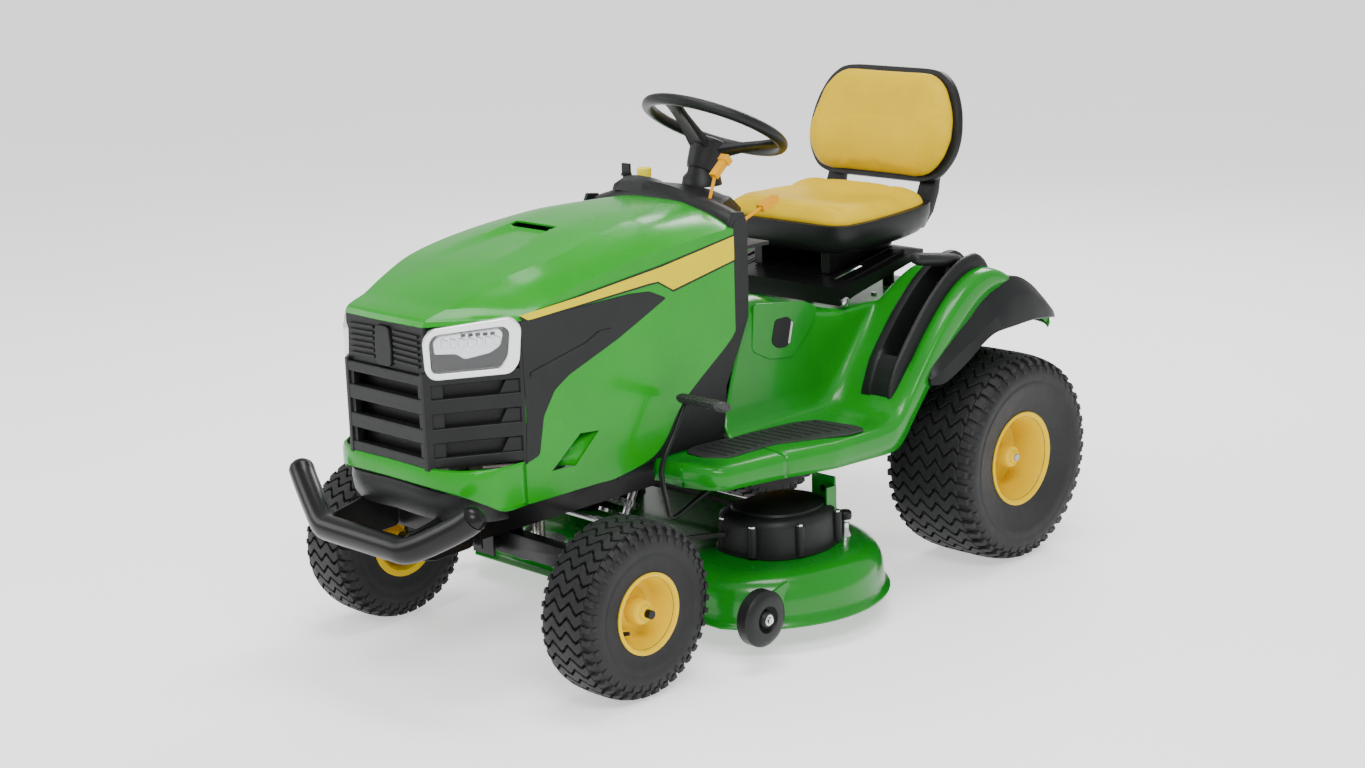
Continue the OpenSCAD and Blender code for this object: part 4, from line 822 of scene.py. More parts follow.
def lamp(name, side):
    place = on_corner(side)
    wide = CORNER
    outer = rounded([(1, 706), (-2, 776), (16, 797), (wide - 16, 812), (wide + 3, 792), (wide - 4, 716),
                     (wide - 22, 694), (16, 690)], 12, 4)
    inner = rounded([(14, 710), (12, 770), (24, 784), (wide - 34, 794), (wide - 22, 782), (wide - 28, 732),
                     (wide - 46, 707), (24, 704)], 10, 4)
    hollow_plate("lamp_surround_" + name, outer, inner, (-7, 14), place, "lamp_bezels", stands=side > 0,
                 edge=(3, 3))
    plate("lamp_well_" + name, inner, (13, 15), place, "lamp_bezels", material="black_plastic")
    # Reflector with seven facets under a row of five small lamps
    glow = rounded([(22, 742), (20, 768), (30, 780), (wide - 42, 789), (wide - 34, 778), (wide - 40, 752),
                    (wide - 62, 738), (84, 728), (66, 740)], 5, 3)
    plate("lamp_reflector_" + name, glow, (4, 12), place, "lamp_bezels", edge=(2.5, 2))
    for k in range(7):
        u = 36 + k * 18
        facet = [(u, 756), (u + 12, 752), (u + 15, 770), (u + 2, 776)]
        plate("lamp_facet_%s_%d" % (name, k), facet, (0, 6), place, "lamp_bezels", edge=(2, 2))
    for k in range(5):
        u = 78 + k * 15
        plate("lamp_led_%s_%d" % (name, k), [(u, 776), (u + 9, 777), (u + 9, 782), (u, 781)], (-1.5, 4),
              place, "lamp_bezels", material="black_plastic")
    lens_out = rounded([(15, 711), (13, 770), (25, 783), (wide - 35, 793), (wide - 23, 781),
                        (wide - 29, 733), (wide - 47, 708), (25, 705)], 10, 4)
    plate("lamp_cover_" + name, lens_out, (-5, -3), place, "lamp_lenses", stands=side > 0, edge=(0.8, 2))


# ---- Rear body ----

# Height of the arch and footrest surface along the machine, at the outer side
ARCH = [(-400, 425), (150, 425), (200, 431), (240, 455), (275, 500), (310, 542), (360, 600), (400, 640),
        (450, 682), (500, 711), (550, 726), (600, 722), (640, 703), (710, 645), (805, 562)]
# Height of the seat platform
PLATFORM = [(-150, 722), (-40, 722), (100, 690), (250, 650), (300, 645), (700, 645), (770, 610), (805, 562)]
# Outer edge of footrest and fender
EDGE = [(-362, 300), (-356, 350), (-340, 392), (-315, 412), (-170, 432), (-20, 464), (190, 468), (260, 456),
        (805, 455)]
# Height of the turned-down edge
LIP = [(-400, 48), (100, 62), (220, 68), (320, 76), (440, 88), (560, 56), (640, 24), (805, 8)]


def smooth_at(table, y, window=14):
    return sum(curve_at(table, y + window * k) for k in (-2, -1, 0, 1, 2)) / 5


def fender_row(y, footrest_only):
    """Points across the left half at a station along the machine, from inside out."""
    a = smooth_at(ARCH, y)
    edge = smooth_at(EDGE, y, 4)
    lip = smooth_at(LIP, y)
    if footrest_only:
        row = [(POD_X, y, a)] * 12
    else:
        row = []
        gap = smooth_at(PLATFORM, y) - a
        lean = 0.36 * unit((100 - y) / 220)
        for x, w in ((0, 1), (110, 1), (185, 1), (206, 0.985), (218, 0.95), (224, 0.88), (227, 0.7),
                     (230, 0.45), (234, 0.22), (242, 0.09), (258, 0.025), (282, 0)):
            z = a + gap * w
            row.append((x, y + lean * (z - 425), z))
    inner_x = row[-1][0]
    for t, down in ((0.12, 0), (0.28, 0), (0.5, 0), (0.72, 0), (0.84, 1.0)):
        row.append((inner_x + (edge - inner_x) * t, y, a + 3 * math.sin(math.pi * t) - down))
    for x_in, down in ((14, 2.0), (6, 6.0), (1.5, 12.0), (0, 20.0)):
        row.append((edge - x_in, y, a - down))
    row.append((edge, y, a - lip * 0.6))
    row.append((edge, y, a - lip))
    return row


def fender():
    node = "fender_body"
    first = -361
    front = []
    for drop, back in ((48, 1), (26, 0), (10, 0.5), (3, 3)):
        row = fender_row(first, True)
        front.append([(x, first - 3 + back, min(z, row[0][2] - drop)) for x, y, z in row])
    join_y = -152
    outer_rows = front + [fender_row(y, True) for y in range(first, join_y, 11)]
    main_rows = [fender_row(y, False) for y in range(join_y, 806, 12)]
    last = main_rows[-1]
    for drop, back in ((6, 3), (14, 5), (20, 6)):
        main_rows.append([(x, last[0][1] + back - 4, z - drop if x < 455 else z) for x, y, z in last])
    for side, s in SIDES:
        rows = [[at(s * x, y, z) for x, y, z in row] for row in outer_rows]
        join = [at(s * max(x, POD_X), min(y, join_y), smooth_at(ARCH, join_y) if x <= 282 else z) for x, y,
                z in main_rows[0]]
        rows.append(join)
        obj = loft("footrest_" + side, rows, node, wrap=False, caps=False)
        thicken(obj, WALL)
    obj = loft("rear_body", [mirrored(row) for row in main_rows], node, wrap=False, caps=False, stands=True,
               sharp=50.0)
    # Slot under the console for the lift lever
    low, high = at(328, 300, 0), at(408, 600, 0)
    with edited(obj.data) as bm:
        middles = [(f, f.calc_center_median()) for f in bm.faces]
        under = [f for f, m in middles if low.x < m.x < high.x and low.y < m.y < high.y]
        bmesh.ops.delete(bm, geom=under, context="FACES")
    thicken(obj, WALL)
    # Moulded panel with a level window in the seat pod, on each side
    for side, s in SIDES:
        def on_pod(u, v, d, s=s):
            return at(s * (228.5 + d - (v - 600) * 0.035), u, v)

        panel = rounded([(-22, 712), (-34, 604), (24, 574), (98, 566), (168, 622), (196, 668), (150, 690)],
                        14, 4)
        plate("pod_panel_" + side, panel, (-3, 2.2), on_pod, node, edge=(2, 3))
        window = rounded([(46, 664), (30, 612), (50, 596), (84, 594), (106, 646), (92, 664)], 10, 4)
        plate("pod_window_" + side, window, (0, 4.6), on_pod, node, material="black_plastic", edge=(2, 3))
        rail = [(84, 602), (90, 600), (104, 648), (98, 652)]
        plate("pod_window_edge_" + side, rail, (4, 6), on_pod, node, material="zinc", edge=(0.8, 2))
        mat_piece(side, s)


MAT = [(242, -250), (262, -292), (320, -300), (368, -262), (372, -120), (446, 40), (452, 96), (420, 112),
       (308, 96), (280, 44), (262, -90)]


def mat_piece(side, s):
    outline = rounded(MAT, 16, 4)

    def place(u, v, d):
        return at(s * u, v, 426 + d)

    plate("foot_mat_" + side, outline, (0, 4.5), place, "foot_mats", stands=s > 0, edge=(1.5, 3))
    for k in range(15):
        y = -262 + k * 24
        x0, x1 = 268, 356
        if y > -100:
            shift = (y + 100) * 0.36
            x0, x1 = 276 + shift * 0.45, 360 + shift
        if y > 60:
            x0 = 312
        plate("mat_rib_%s_%d" % (side, k), [(x0, y), (x1, y + 5), (x1, y + 9), (x0, y + 4)], (4, 6.5),
              place, "foot_mats", edge=(1, 2))


def console():
    """Raised black console along the left arch, with the lift lever's slot."""
    node = "lift_console"
    rows = []
    count = 28
    for k in range(count + 1):
        t = k / count
        y = 240 + 368 * t
        z = smooth_at(ARCH, y)
        rise = 34 * min(1.0, t * 7) ** 0.5 * min(1.0, (1 - t) * 9) ** 0.5
        slope = math.atan2(smooth_at(ARCH, y + 6) - smooth_at(ARCH, y - 6), 12)
        normal = (-math.sin(slope), math.cos(slope))
        wide = 0.88 + 0.12 * min(1.0, t * 5)
        slot_depth = 68 if 0.2 < t < 0.96 else 0
        row = []
        for dx, up in ((-62, -2), (-61, rise * 0.5), (-55, rise * 0.86), (-46, rise), (-36, rise * 1.02),
                       (-27, rise), (-24, rise - 3 - slot_depth * 0.2), (-23, rise - 3 - slot_depth),
                       (0, rise - 3 - slot_depth), (23, rise - 3 - slot_depth),
                       (24, rise - 3 - slot_depth * 0.2), (27, rise), (32, rise), (37, rise * 0.86),
                       (41, rise * 0.5), (42, -2)):
            row.append(at(LEVER_X + dx * (wide if abs(dx) > 28 else 1), y + normal[0] * up,
                          z + normal[1] * up))
        rows.append(row)
    loft("console_shell", rows, node, wrap=False, caps=False, stands=True, sharp=50.0)
    for k in range(6):
        y = 345 + k * 32
        z = smooth_at(ARCH, y) + 26
        block("console_detent_%d" % k, (384, y, z - 3), (391, y + 10, z + 4), node, edge=(1.5, 2))


# Fender extension at stations along the machine: inner edge (y, z), ridge (x, y, z), flank's foot (x, y, z)
EXTENSION = [
    ((322, 504), (462, 320, 506), (466, 318, 492)),
    ((330, 524), (470, 343, 522), (479, 350, 491)),
    ((380, 562), (470, 392, 544), (480, 400, 508)),
    ((440, 604), (470, 446, 566), (480, 452, 532)),
    ((505, 640), (471, 500, 588), (481, 505, 562)),
    ((560, 662), (472, 556, 616), (482, 552, 578)),
    ((612, 688), (474, 620, 650), (484, 620, 582)),
    ((668, 688), (474, 680, 654), (484, 690, 584)),
    ((728, 658), (472, 736, 630), (480, 740, 580)),
    ((772, 620), (468, 778, 604), (474, 782, 574)),
    ((800, 590), (460, 806, 584), (466, 808, 568)),
]


def trim(name, side):
    """Black fender extension: a broad slope out from the arch, a ridge and a flank over the tyre."""
    columns = []
    for (y, z), ridge, foot in EXTENSION:
        inner = Vector((452, y, z + 3))
        ridge, foot = Vector(ridge), Vector(foot)
        deep = unit((y - 560) / 120)
        root = Vector((446 - 170 * deep, y + 8 * deep, z - 8 + 6 * deep))
        columns.append([root, inner, inner.lerp(ridge, 0.5) + Vector((0, 0, 2)), ridge,
                        ridge.lerp(foot, 0.12) + Vector((2, 0, 0)), foot, foot + Vector((-5, 0, -3)),
                        ridge + Vector((-6, 0, -9)), inner + Vector((0, 0, -12))])
    lines = [spline([column[k] for column in columns], 4) for k in range(9)]
    rows = [[at(side * line[i].x, line[i].y, line[i].z) for line in lines] for i in range(len(lines[0]))]
    loft("fender_extension_" + name, rows, "rear_trim", stands=side > 0, sharp=24.0)


def rear_bumper():
    plate("rear_panel", rounded([(-222, 470), (222, 470), (236, 560), (236, 600), (-236, 600), (-236, 560)],
                                14, 4), (806, 824), rear_view, "rear_trim", edge=(4, 3))
    plate("rear_bar", rounded(rect(-240, 540, 240, 572), 8, 4), (822, 862),
          rear_view, "rear_trim", edge=(6, 3))


# ---- Dash and controls ----

def cowl_row(x):
    """Profile of the dash cowl at a place across it, with a hump and a rear shelf in the middle."""
    side = abs(x) / 238
    hump = 20 * max(0.0, math.cos(min(1.0, abs(x + 40) / 130) * math.pi / 2)) ** 0.7
    shelf = unit((165 - abs(x)) / 50)
    shelf = shelf * shelf * (3 - 2 * shelf)
    rear = -52 + 112 * shelf
    crown = 950 - 36 * side ** 3
    fall = 80 * max(0.0, side - 0.9)
    return [(-101, 880 - fall), (-102, crown - 22), (-98, crown - 8), (-88, crown + hump * 0.5),
            (-74, crown + 6 + hump), (min(-58, rear - 6), crown + 4 + hump),
            (rear - 4 - 30 * shelf, crown - 4 + hump * 0.6), (rear, crown - 22 - 12 * shelf),
            (rear + 2, 880), (rear, 850 if shelf > 0.5 else 862), (-60, 850), (-96, 856)]


def dash():
    node = "dash_panel"
    rows = []
    for k in range(41):
        x = -240 + 12 * k
        rows.append([at(x, y, z) for y, z in cowl_row(x)])
    loft("dash_cowl", rows, node, stands=True, sharp=40.0)
    # Raised hood over the gauges
    hood_rows = []
    for k in range(9):
        t = k / 8
        x = -150 + 120 * t
        rise = 12 * math.sin(math.pi * t) ** 0.6
        hood_rows.append([at(x, -92, 950), at(x, -86, 962 + rise), at(x, -60, 972 + rise),
                          at(x, -36, 966 + rise), at(x, -30, 950)])
    loft("gauge_hood", hood_rows, node, sharp=50.0)
    lathe("column_boot", [(-30, 22), (-30, 48), (-10, 44), (0, 34), (22, 28), (30, 22)], (0, 54, 985), node,
          40, "Z")
    refined("dash_pedestal", 5, 3)
    # Side panels that follow the hood's rear edge down to the footrest
    for s in (-1, 1):
        outline = [(-110, 905), (-96, 934), (-60, 930), (-50, 905), (-49, 760), (-52, 690), (-76, 640),
                   (-128, 545), (-140, 424), (-330, 424), (-420, 416), (-352, 452), (-276, 530),
                   (-136, 640), (-108, 672)]
        plate("pedestal_side_%d" % s, outline, (s * 229, s * 239), side_view, "dash_pedestal",
              edge=(2.5, 3))


COLUMN_TILT = math.radians(27.6)
WHEEL_AT = Vector((0, 103, 1088))


def on_column(x, y, z):
    """A point of the steering wheel's own frame, z along the column."""
    c, s = math.cos(COLUMN_TILT), math.sin(COLUMN_TILT)
    return at(x, WHEEL_AT.y + y * c + z * s, WHEEL_AT.z - y * s + z * c)


def steering_wheel():
    node = "steering_wheel"
    big, small = 164.0, 13.5
    rows = []
    for a in angles(96):
        grip = 1.0 + 0.12 * max(0.0, math.cos(3 * (a - math.radians(90)))) ** 6
        row = []
        for m, b in enumerate(angles(16)):
            squeeze = 0.92 if m in (10, 12) else 1.0
            r = big + small * grip * squeeze * math.cos(b)
            row.append(on_column(r * math.cos(a), r * math.sin(a), small * squeeze * math.sin(b)))
        rows.append(row)
    rows.append(rows[0])
    loft("wheel_rim", rows, node, caps=False, stands=True, sharp=60.0)
    for k, angle in enumerate((-90, 30, 150)):
        a = math.radians(angle)
        rows = []
        path = [(20, -60, 30, 14), (44, -50, 30, 11), (80, -34, 25, 8), (115, -20, 22, 7),
                (145, -8, 23, 6.5), (162, -2, 30, 6)]
        for r, z, half, thick in path:
            row = []
            for u, v in ((-1, -0.3), (-0.8, -1), (0, -0.7), (0.8, -1), (1, -0.3), (0.9, 0.8), (0.4, 1),
                         (0, 0.6), (-0.4, 1), (-0.9, 0.8)):
                x = r * math.cos(a) - u * half * math.sin(a)
                y = r * math.sin(a) + u * half * math.cos(a)
                row.append(on_column(x, y, z + v * thick))
            rows.append(row)
        loft("wheel_spoke_%d" % k, rows, node, sharp=50.0)
    profile = [(-112, 10), (-112, 34), (-100, 37), (-60, 42), (-46, 46), (-40, 44), (-36, 34), (-35, 0.1),
               (-50, 0.1)]
    verts = [on_column(r * math.cos(t), r * math.sin(t), z) for t in angles(48) for z, r in profile]
    mesh_piece("wheel_hub", verts, turned_faces(48, len(profile)), node, sharp=30.0)


def controls():
    for node, width in (("throttle_lever", 3), ("park_brake_lever", 3), ("pto_knob", 3),
                        ("ignition_key", 1.5), ("forward_pedal", 2), ("reverse_pedal", 2)):
        refined(node, width, 3)
    tube("lift_arm", [(LEVER_X, 470, 560), (LEVER_X, 490, 660), (LEVER_X, 506, 748)], 7, "lift_lever", 3,
         stands=True)
    rows = []
    for t, r in ((0, 6), (0.03, 14), (0.1, 18), (0.5, 19.5), (0.85, 18), (0.97, 13), (1, 6)):
        y = 506 - 134 + 178 * t
        z = 770 - 30 * t
        rows.append([at(LEVER_X + r * 1.05 * math.cos(a), y,
                        z + r * 0.86 * math.sin(a)) for a in angles(20)])
    loft("lift_grip", rows, "lift_lever", sharp=60.0)
    # Brake: bent rod and a ribbed rubber pad
    tube("brake_rod", [(300, -235, 350), (300, -300, 330), (300, -374, 306), (300, -392, 340),
                       (300, -404, 422), (300, -365, 490), (300, -324, 556)], 6, "brake_pedal", 5,
         stands=True, material="black_steel")
    rows = []
    for t, half in ((0, 0.7), (0.05, 1), (0.95, 1), (1, 0.7)):
        x = 288 + 124 * t
        rows.append([at(x, -322 + 26 * half * math.cos(a),
                        562 + 11 * half * math.sin(a) - 8 * math.cos(a)) for a in angles(12, 0.5)])
    loft("brake_pad", rows, "brake_pedal", material="mat_rubber", sharp=40.0)
    for k in range(9):
        rows = []
        for x in (296 + k * 13, 303 + k * 13):
            rows.append([at(x, -322 + 27.5 * math.cos(a),
                            562 + 12.5 * math.sin(a) - 8 * math.cos(a)) for a in angles(12, 0.5)])
        loft("brake_pad_rib_%d" % k, rows, "brake_pedal", material="mat_rubber")


# ---- Bumper, front end ----

def front_end():
    for s in (-1, 1):
        rows = []
        for t, r in ((0.0, 28.0), (0.45, 25.0), (0.8, 17.0), (1.0, 3.0)):
            centre = Vector((s * (288 + 14 * t), -924 + 7 * t, 436 + 14 * t))
            out, level = Vector((s * 0.67, 0.33, 0.67)), Vector((0, 1, 0))
            side = out.cross(level).normalized()
            level = side.cross(out).normalized()
            rows.append([at(*(centre + (side * math.cos(a) + level * math.sin(a)) * r))
                         for a in angles(20)])
        loft("bumper_end_%d" % s, rows, "front_bumper", sharp=60.0)
    tube("bumper_tube", [(-288, -924, 436), (-262, -934, 416), (-190, -962, 374), (-140, -981, 352),
                         (-100, -985, 350), (0, -985, 350), (100, -985, 350), (140, -981, 352),
                         (190, -962, 374), (262, -934, 416), (288, -924, 436)], 28, "front_bumper", 4, 24,
         stands=True, sharp=60.0)
    for s in (-1, 1):
        outline = [(-796, 310), (-796, 424), (-900, 392), (-975, 378), (-978, 326), (-900, 306)]
        plate("bumper_bracket_%d" % s, rounded(outline, 14, 4), (s * 120, s * 128), side_view,
              "front_bumper", edge=(2, 2))
    rows = []
    front = [(0, -904), (70, -903), (118, -897), (165, -880), (200, -852), (224, -818), (232, -786)]
    path = spline([(x, y, 0) for x, y in front], 3)
    full = [Vector((-p.x, p.y, 0)) for p in reversed(path)][:-1] + path
    for z, back in ((382, 26), (386, 12), (400, 4), (430, 0), (448, 2), (460, 14)):
        rows.append([at(p.x * (1 - back / 240), p.y + back * 0.9,
                        z + 10 * (1 - abs(p.x) / 232)) for p in full])
    obj = loft("valance_skin", rows, "front_valance", wrap=False, caps=False, stands=True, sharp=40.0)
    thicken(obj, WALL)


# ---- Cutting deck ----

BLADE_X, BLADE_Y = 255.0, -60.0
DECK_HALF = 560.0
DECK_FRONT = -332.0


def arc(cx, cy, r, a0, a1, n):
    return [(cx + r * math.cos(math.radians(a0 + (a1 - a0) * k / n)),
             cy + r * math.sin(math.radians(a0 + (a1 - a0) * k / n))) for k in range(n + 1)]


def deck_plan(d):
    r = DECK_HALF - BLADE_X
    start = math.degrees(math.asin((BLADE_Y - DECK_FRONT) / r))
    back = BLADE_Y + r * 0.93 - d
    left = arc(BLADE_X, BLADE_Y, r - d, -start, 100, 26)
    right = arc(-BLADE_X, BLADE_Y, r - d, 80, 172, 18)
    front = DECK_FRONT + d
    points = left + [(120, back + 2), (60, back), (0, back), (-60, back), (-120, back + 2)] + right
    points += [(-DECK_HALF + d, BLADE_Y - 60), (-DECK_HALF + 40 + d * 0.6, front + 90),
               (-DECK_HALF + 130, front), (-300, front), (-200, front), (-110, front), (-50, front + 14),
               (0, front + 22), (50, front + 14), (110, front), (200, front)]
    return points


def deck():
    node = "deck_shell"
    rows = []
    for d, z in ((3, 57), (-0.5, 58.5), (-1, 62), (2, 65), (8, 67), (12, 72), (13, 90), (15, 118),
                 (20, 136), (30, 151), (44, 161), (62, 166.5), (84, 168), (120, 168)):
        rows.append([at(x, y, z) for x, y in deck_plan(d)])
    cols = len(rows[0])
    verts = [p for row in rows for p in row]
    faces = grid_faces(len(rows), cols, True)
    base = (len(rows) - 1) * cols
    faces.append(tuple(range(base, base + cols)))
    obj = mesh_piece("deck_skin", verts, faces, node, stands=True, sharp=40.0)
    thicken(obj, 3)
    cut(obj, [block("cut_chute", (-640, -108, 40), (-452, 76, 142), node)], 40)
    for side, s in SIDES:
        # Hanger bracket with its row of holes shown as black discs, painted shade in the holes
        block("hanger_" + side, (s * 330, 48, 166), (s * 400, 54, 320), node, edge=(1.5, 2))
        block("hanger_web_" + side, (s * 396, 20, 166), (s * 401, 54, 300), node, edge=(1.5, 2))
        for k in range(3):
            # painted shade: a black disc fills each hole
            lathe("hanger_hole_shade_%s_%d" % (side, k), [(-7.5, 0.1), (-7.5, 8), (-6, 9), (0, 9), (0, 0.1)],
                  (s * 365, 55, 215 + 36 * k), node, 20, "Y", material="black_steel")
        # Arm of the gauge wheel
        plate("gauge_arm_" + side, rounded([(-348, 94), (-314, 92), (-220, 100), (-200, 128), (-210, 160),
                                            (-300, 138), (-346, 132)], 12, 4), (s * 482, s * 489),
              side_view, node, edge=(1.5, 2))
        cover(side, s)
    lathe("wash_port", [(168, 0.1), (168, 14), (176, 13), (182, 9), (200, 9), (204, 12), (208, 12),
                        (210, 9), (210, 0.1)], (392, 92, 0), node, 28, "Z", material="zinc")
    lathe("wash_cap", [(209, 0.1), (209, 15), (213, 16), (224, 16), (228, 13), (229, 0.1)], (392, 92, 0),
          node, 28, "Z", material="black_plastic")


def cover(side, s):
    """Belt cover: a low drum with a stepped lid, a flat and moulded bumps."""
    node = "belt_covers"
    outline = rounded([(205, -140), (250, -178), (330, -182), (400, -150), (432, -80), (430, 0), (400, 60),
                       (330, 96), (262, 84), (215, 40)], 46, 6)
    cx = sum(p[0] for p in outline) / len(outline)
    cy = sum(p[1] for p in outline) / len(outline)
    rows = []
    for k, z in ((1.03, 170), (1.03, 176), (1.0, 178), (0.99, 236), (0.965, 250), (0.9, 258), (0.8, 261),
                 (0.78, 266), (0.7, 269), (0.3, 271)):
        rows.append([at(s * (cx + (x - cx) * k), cy + (y - cy) * k, z) for x, y in outline])
    loft("cover_" + side, rows, node, stands=s > 0, sharp=35.0)
    for k, (x, y) in enumerate(((426, -100), (352, -182), (250, -172), (418, 40))):
        bump_x = s * (cx + (x - cx) * 0.97)
        bump_y = cy + (y - cy) * 0.97
        tube("cover_bump_%s_%d" % (side, k), [(bump_x, bump_y, 176), (bump_x, bump_y, 243)], 11, node, 1,
             16)
        lathe("cover_screw_%s_%d" % (side, k), [(243, 0.1), (243, 8), (247, 8), (249, 5), (249, 0.1)],
              (bump_x, bump_y, 0), node, 6, "Z", material="zinc")


def belt():
    mesh = nodes["drive_belt"].data.copy()
    with edited(mesh) as bm:
        bmesh.ops.remove_doubles(bm, verts=bm.verts, dist=1e-5)
        bmesh.ops.subdivide_edges(bm, edges=[e for e in bm.edges if e.calc_length() > 0.05], cuts=8)
    obj = new_object("belt_loop", mesh)
    mesh.materials.clear()
    mesh.materials.append(MATERIAL["belt_rubber"])
    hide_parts("drive_belt")
    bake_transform(obj)


# ---- Seat ----

def pillow(name, outline, centre, front, back, rings=14):
    """A closed cushion over an outline; front and back give the surfaces at (u, v, s)."""
    verts = []
    n = len(outline)
    for surface_of, order in ((front, range(rings, 0, -1)), (back, range(1, rings))):
        for k in order:
            s = math.sin(k / rings * math.pi / 2)
            for u, v in outline:
                verts.append(surface_of(centre[0] + (u - centre[0]) * s, centre[1] + (v - centre[1]) * s,
                                        s))
    # The front rings run from the edge inward, then the back rings from the middle outward
    faces = grid_faces(rings, n, True)
    start = rings * n
    faces += grid_faces(rings - 1, n, True, start)
    last = start + (rings - 2) * n
    faces += [(last + k, last + (k + 1) % n, (k + 1) % n, k) for k in range(n)]
    middle_front = len(verts)
    verts.append(front(centre[0], centre[1], 0))
    middle_back = len(verts)
    verts.append(back(centre[0], centre[1], 0))
    inner = (rings - 1) * n
    faces += [(inner + k, inner + (k + 1) % n, middle_front) for k in range(n)]
    faces += [(start + k, start + (k + 1) % n, middle_back) for k in range(n)]
    mesh = bpy.data.meshes.new(name)
    mesh.from_pydata([tuple(v) for v in verts], [], faces)
    with edited(mesh) as bm:
        bmesh.ops.recalc_face_normals(bm, faces=bm.faces)
    obj = new_object(name, mesh)
    return obj


def inflate(obj, cap, voxel=5.0):
    """Swells the cushion by cloth simulation, no point moving more than cap millimetres."""
    remesh = obj.modifiers.new("voxels", "REMESH")
    remesh.mode = "VOXEL"
    remesh.voxel_size = voxel * MM
    apply_modifiers(obj)
    before = [v.co.copy() for v in obj.data.vertices]
    mod = obj.modifiers.new("cloth", "CLOTH")
    mod.settings.quality = 5
    mod.settings.use_pressure = True
    mod.settings.uniform_pressure_force = 4.0
    mod.settings.effector_weights.gravity = 0.0
    mod.settings.tension_stiffness = 20.0
    mod.settings.bending_stiffness = 2.0
    mod.point_cache.frame_start = 1
    mod.point_cache.frame_end = 20
    for step in range(1, 21):
        bpy.context.scene.frame_set(step)
    apply_modifiers(obj)
    bpy.context.scene.frame_set(1)
    limit = cap * MM
    for v, was in zip(obj.data.vertices, before):
        moved = v.co - was
        if moved.length > limit:
            v.co = was + moved.normalized() * limit
    smooth = obj.modifiers.new("ease", "SMOOTH")
    smooth.iterations = 6
    subdivide = obj.modifiers.new("fine", "SUBSURF")
    subdivide.levels = 1
    subdivide.render_levels = 1
    apply_modifiers(obj)
    return obj


def sew(obj, seam, depth=2.6, width=4.5):
    """Presses a sewn channel where seam(point) gives the distance in millimetres."""
    obj.data.update()
    normals = [v.normal.copy() for v in obj.data.vertices]
    for v, normal in zip(obj.data.vertices, normals):
        local = ((v.co.x - CENTRE_X) / MM, (v.co.y - CENTRE_Y) / MM, v.co.z / MM)
        gap = seam(*local)
        if gap < width * 3:
            v.co -= normal * depth * MM * math.exp(-(gap / width) ** 2)


def seat():
    outline = rounded([(-176, 312), (-214, 352), (-226, 470), (-222, 600), (-190, 656), (190, 656),
                       (222, 600), (226, 470), (214, 352), (176, 312)], 60, 6)

    def seam_z(v):
        return 838 + 10 * unit((v - 560) / 90)

    def top(u, v, s):
        edge = max(0.0, 1 - s ** 7) ** 0.5
        front_roll = 8 * math.exp(-((v - 370) / 70) ** 2)
        bolster = 16 * (abs(u) / 226) ** 3 * unit((v - 380) / 200)
        rear = 22 * unit((v - 560) / 90) ** 1.5
        dip = -9 * math.exp(-(u / 120) ** 2) * math.exp(-((v - 500) / 110) ** 2)
        return at(u, v, seam_z(v) + (27 + front_roll + bolster + rear + dip) * edge)

    def under(u, v, s):
        edge = max(0.0, 1 - s ** 10) ** 0.5
        return at(u, v, seam_z(v) - 26 * edge)

    cushion = pillow("cushion_seat", outline, (0, 480), top, under)
    inflate(cushion, 7)

    def front_seam(x, y, z):
        return min(abs(abs(x) - 168 + (y - 400) * 0.05) if y < 560 and z > 850 else 99,
                   abs(y - 352 + abs(x) * 0.02) if abs(x) < 200 and z > 838 else 99)

    sew(cushion, front_seam, 1.6, 4.0)
    dress(cushion, "seat_cushion", stands=True, sharp=80.0)

    lean = math.atan2(70, 260)

    def on_back(u, h, d):
        return at(u, 698 + d * math.cos(lean) + h * math.sin(lean),
                  892 - d * math.sin(lean) + h * math.cos(lean))

    half = [(150, 0), (192, 16), (226, 66), (233, 116), (222, 178), (196, 232), (160, 263), (120, 271)]
    back_outline = rounded(half + [(-u, v) for u, v in reversed(half)], 34, 5)

    def face(u, v, s):
        edge = max(0.0, 1 - s ** 6) ** 0.5
        wing = 12 * (abs(u) / 224) ** 2
        lumbar = 8 * math.exp(-((v - 90) / 60) ** 2)
        return on_back(u, v, -24 - (15 + wing + lumbar) * edge)

    def rear(u, v, s):
        edge = max(0.0, 1 - s ** 10) ** 0.5
        return on_back(u, v, -24 + 18 * edge)

    rest = pillow("cushion_back", back_outline, (0, 130), face, rear)
    inflate(rest, 7)

    def back_seam(x, y, z):
        h = (z - 892) * math.cos(lean) + (y - 698) * math.sin(lean)
        depth = (y - 698) * math.cos(lean) - (z - 892) * math.sin(lean)
        if depth > -26:
            return 99
        arch_line = 150 - 26 * (abs(x) / 150) ** 2
        gap = abs(h - arch_line) if abs(x) < 150 else 99
        legs = abs(abs(x) - 150 - (h - 60) * 0.05) if h < 126 else 99
        return min(gap, legs)

    sew(rest, back_seam, 1.1, 7.0)
    dress(rest, "back_cushion", stands=True, sharp=80.0)
    seat_shell(back_outline, on_back)


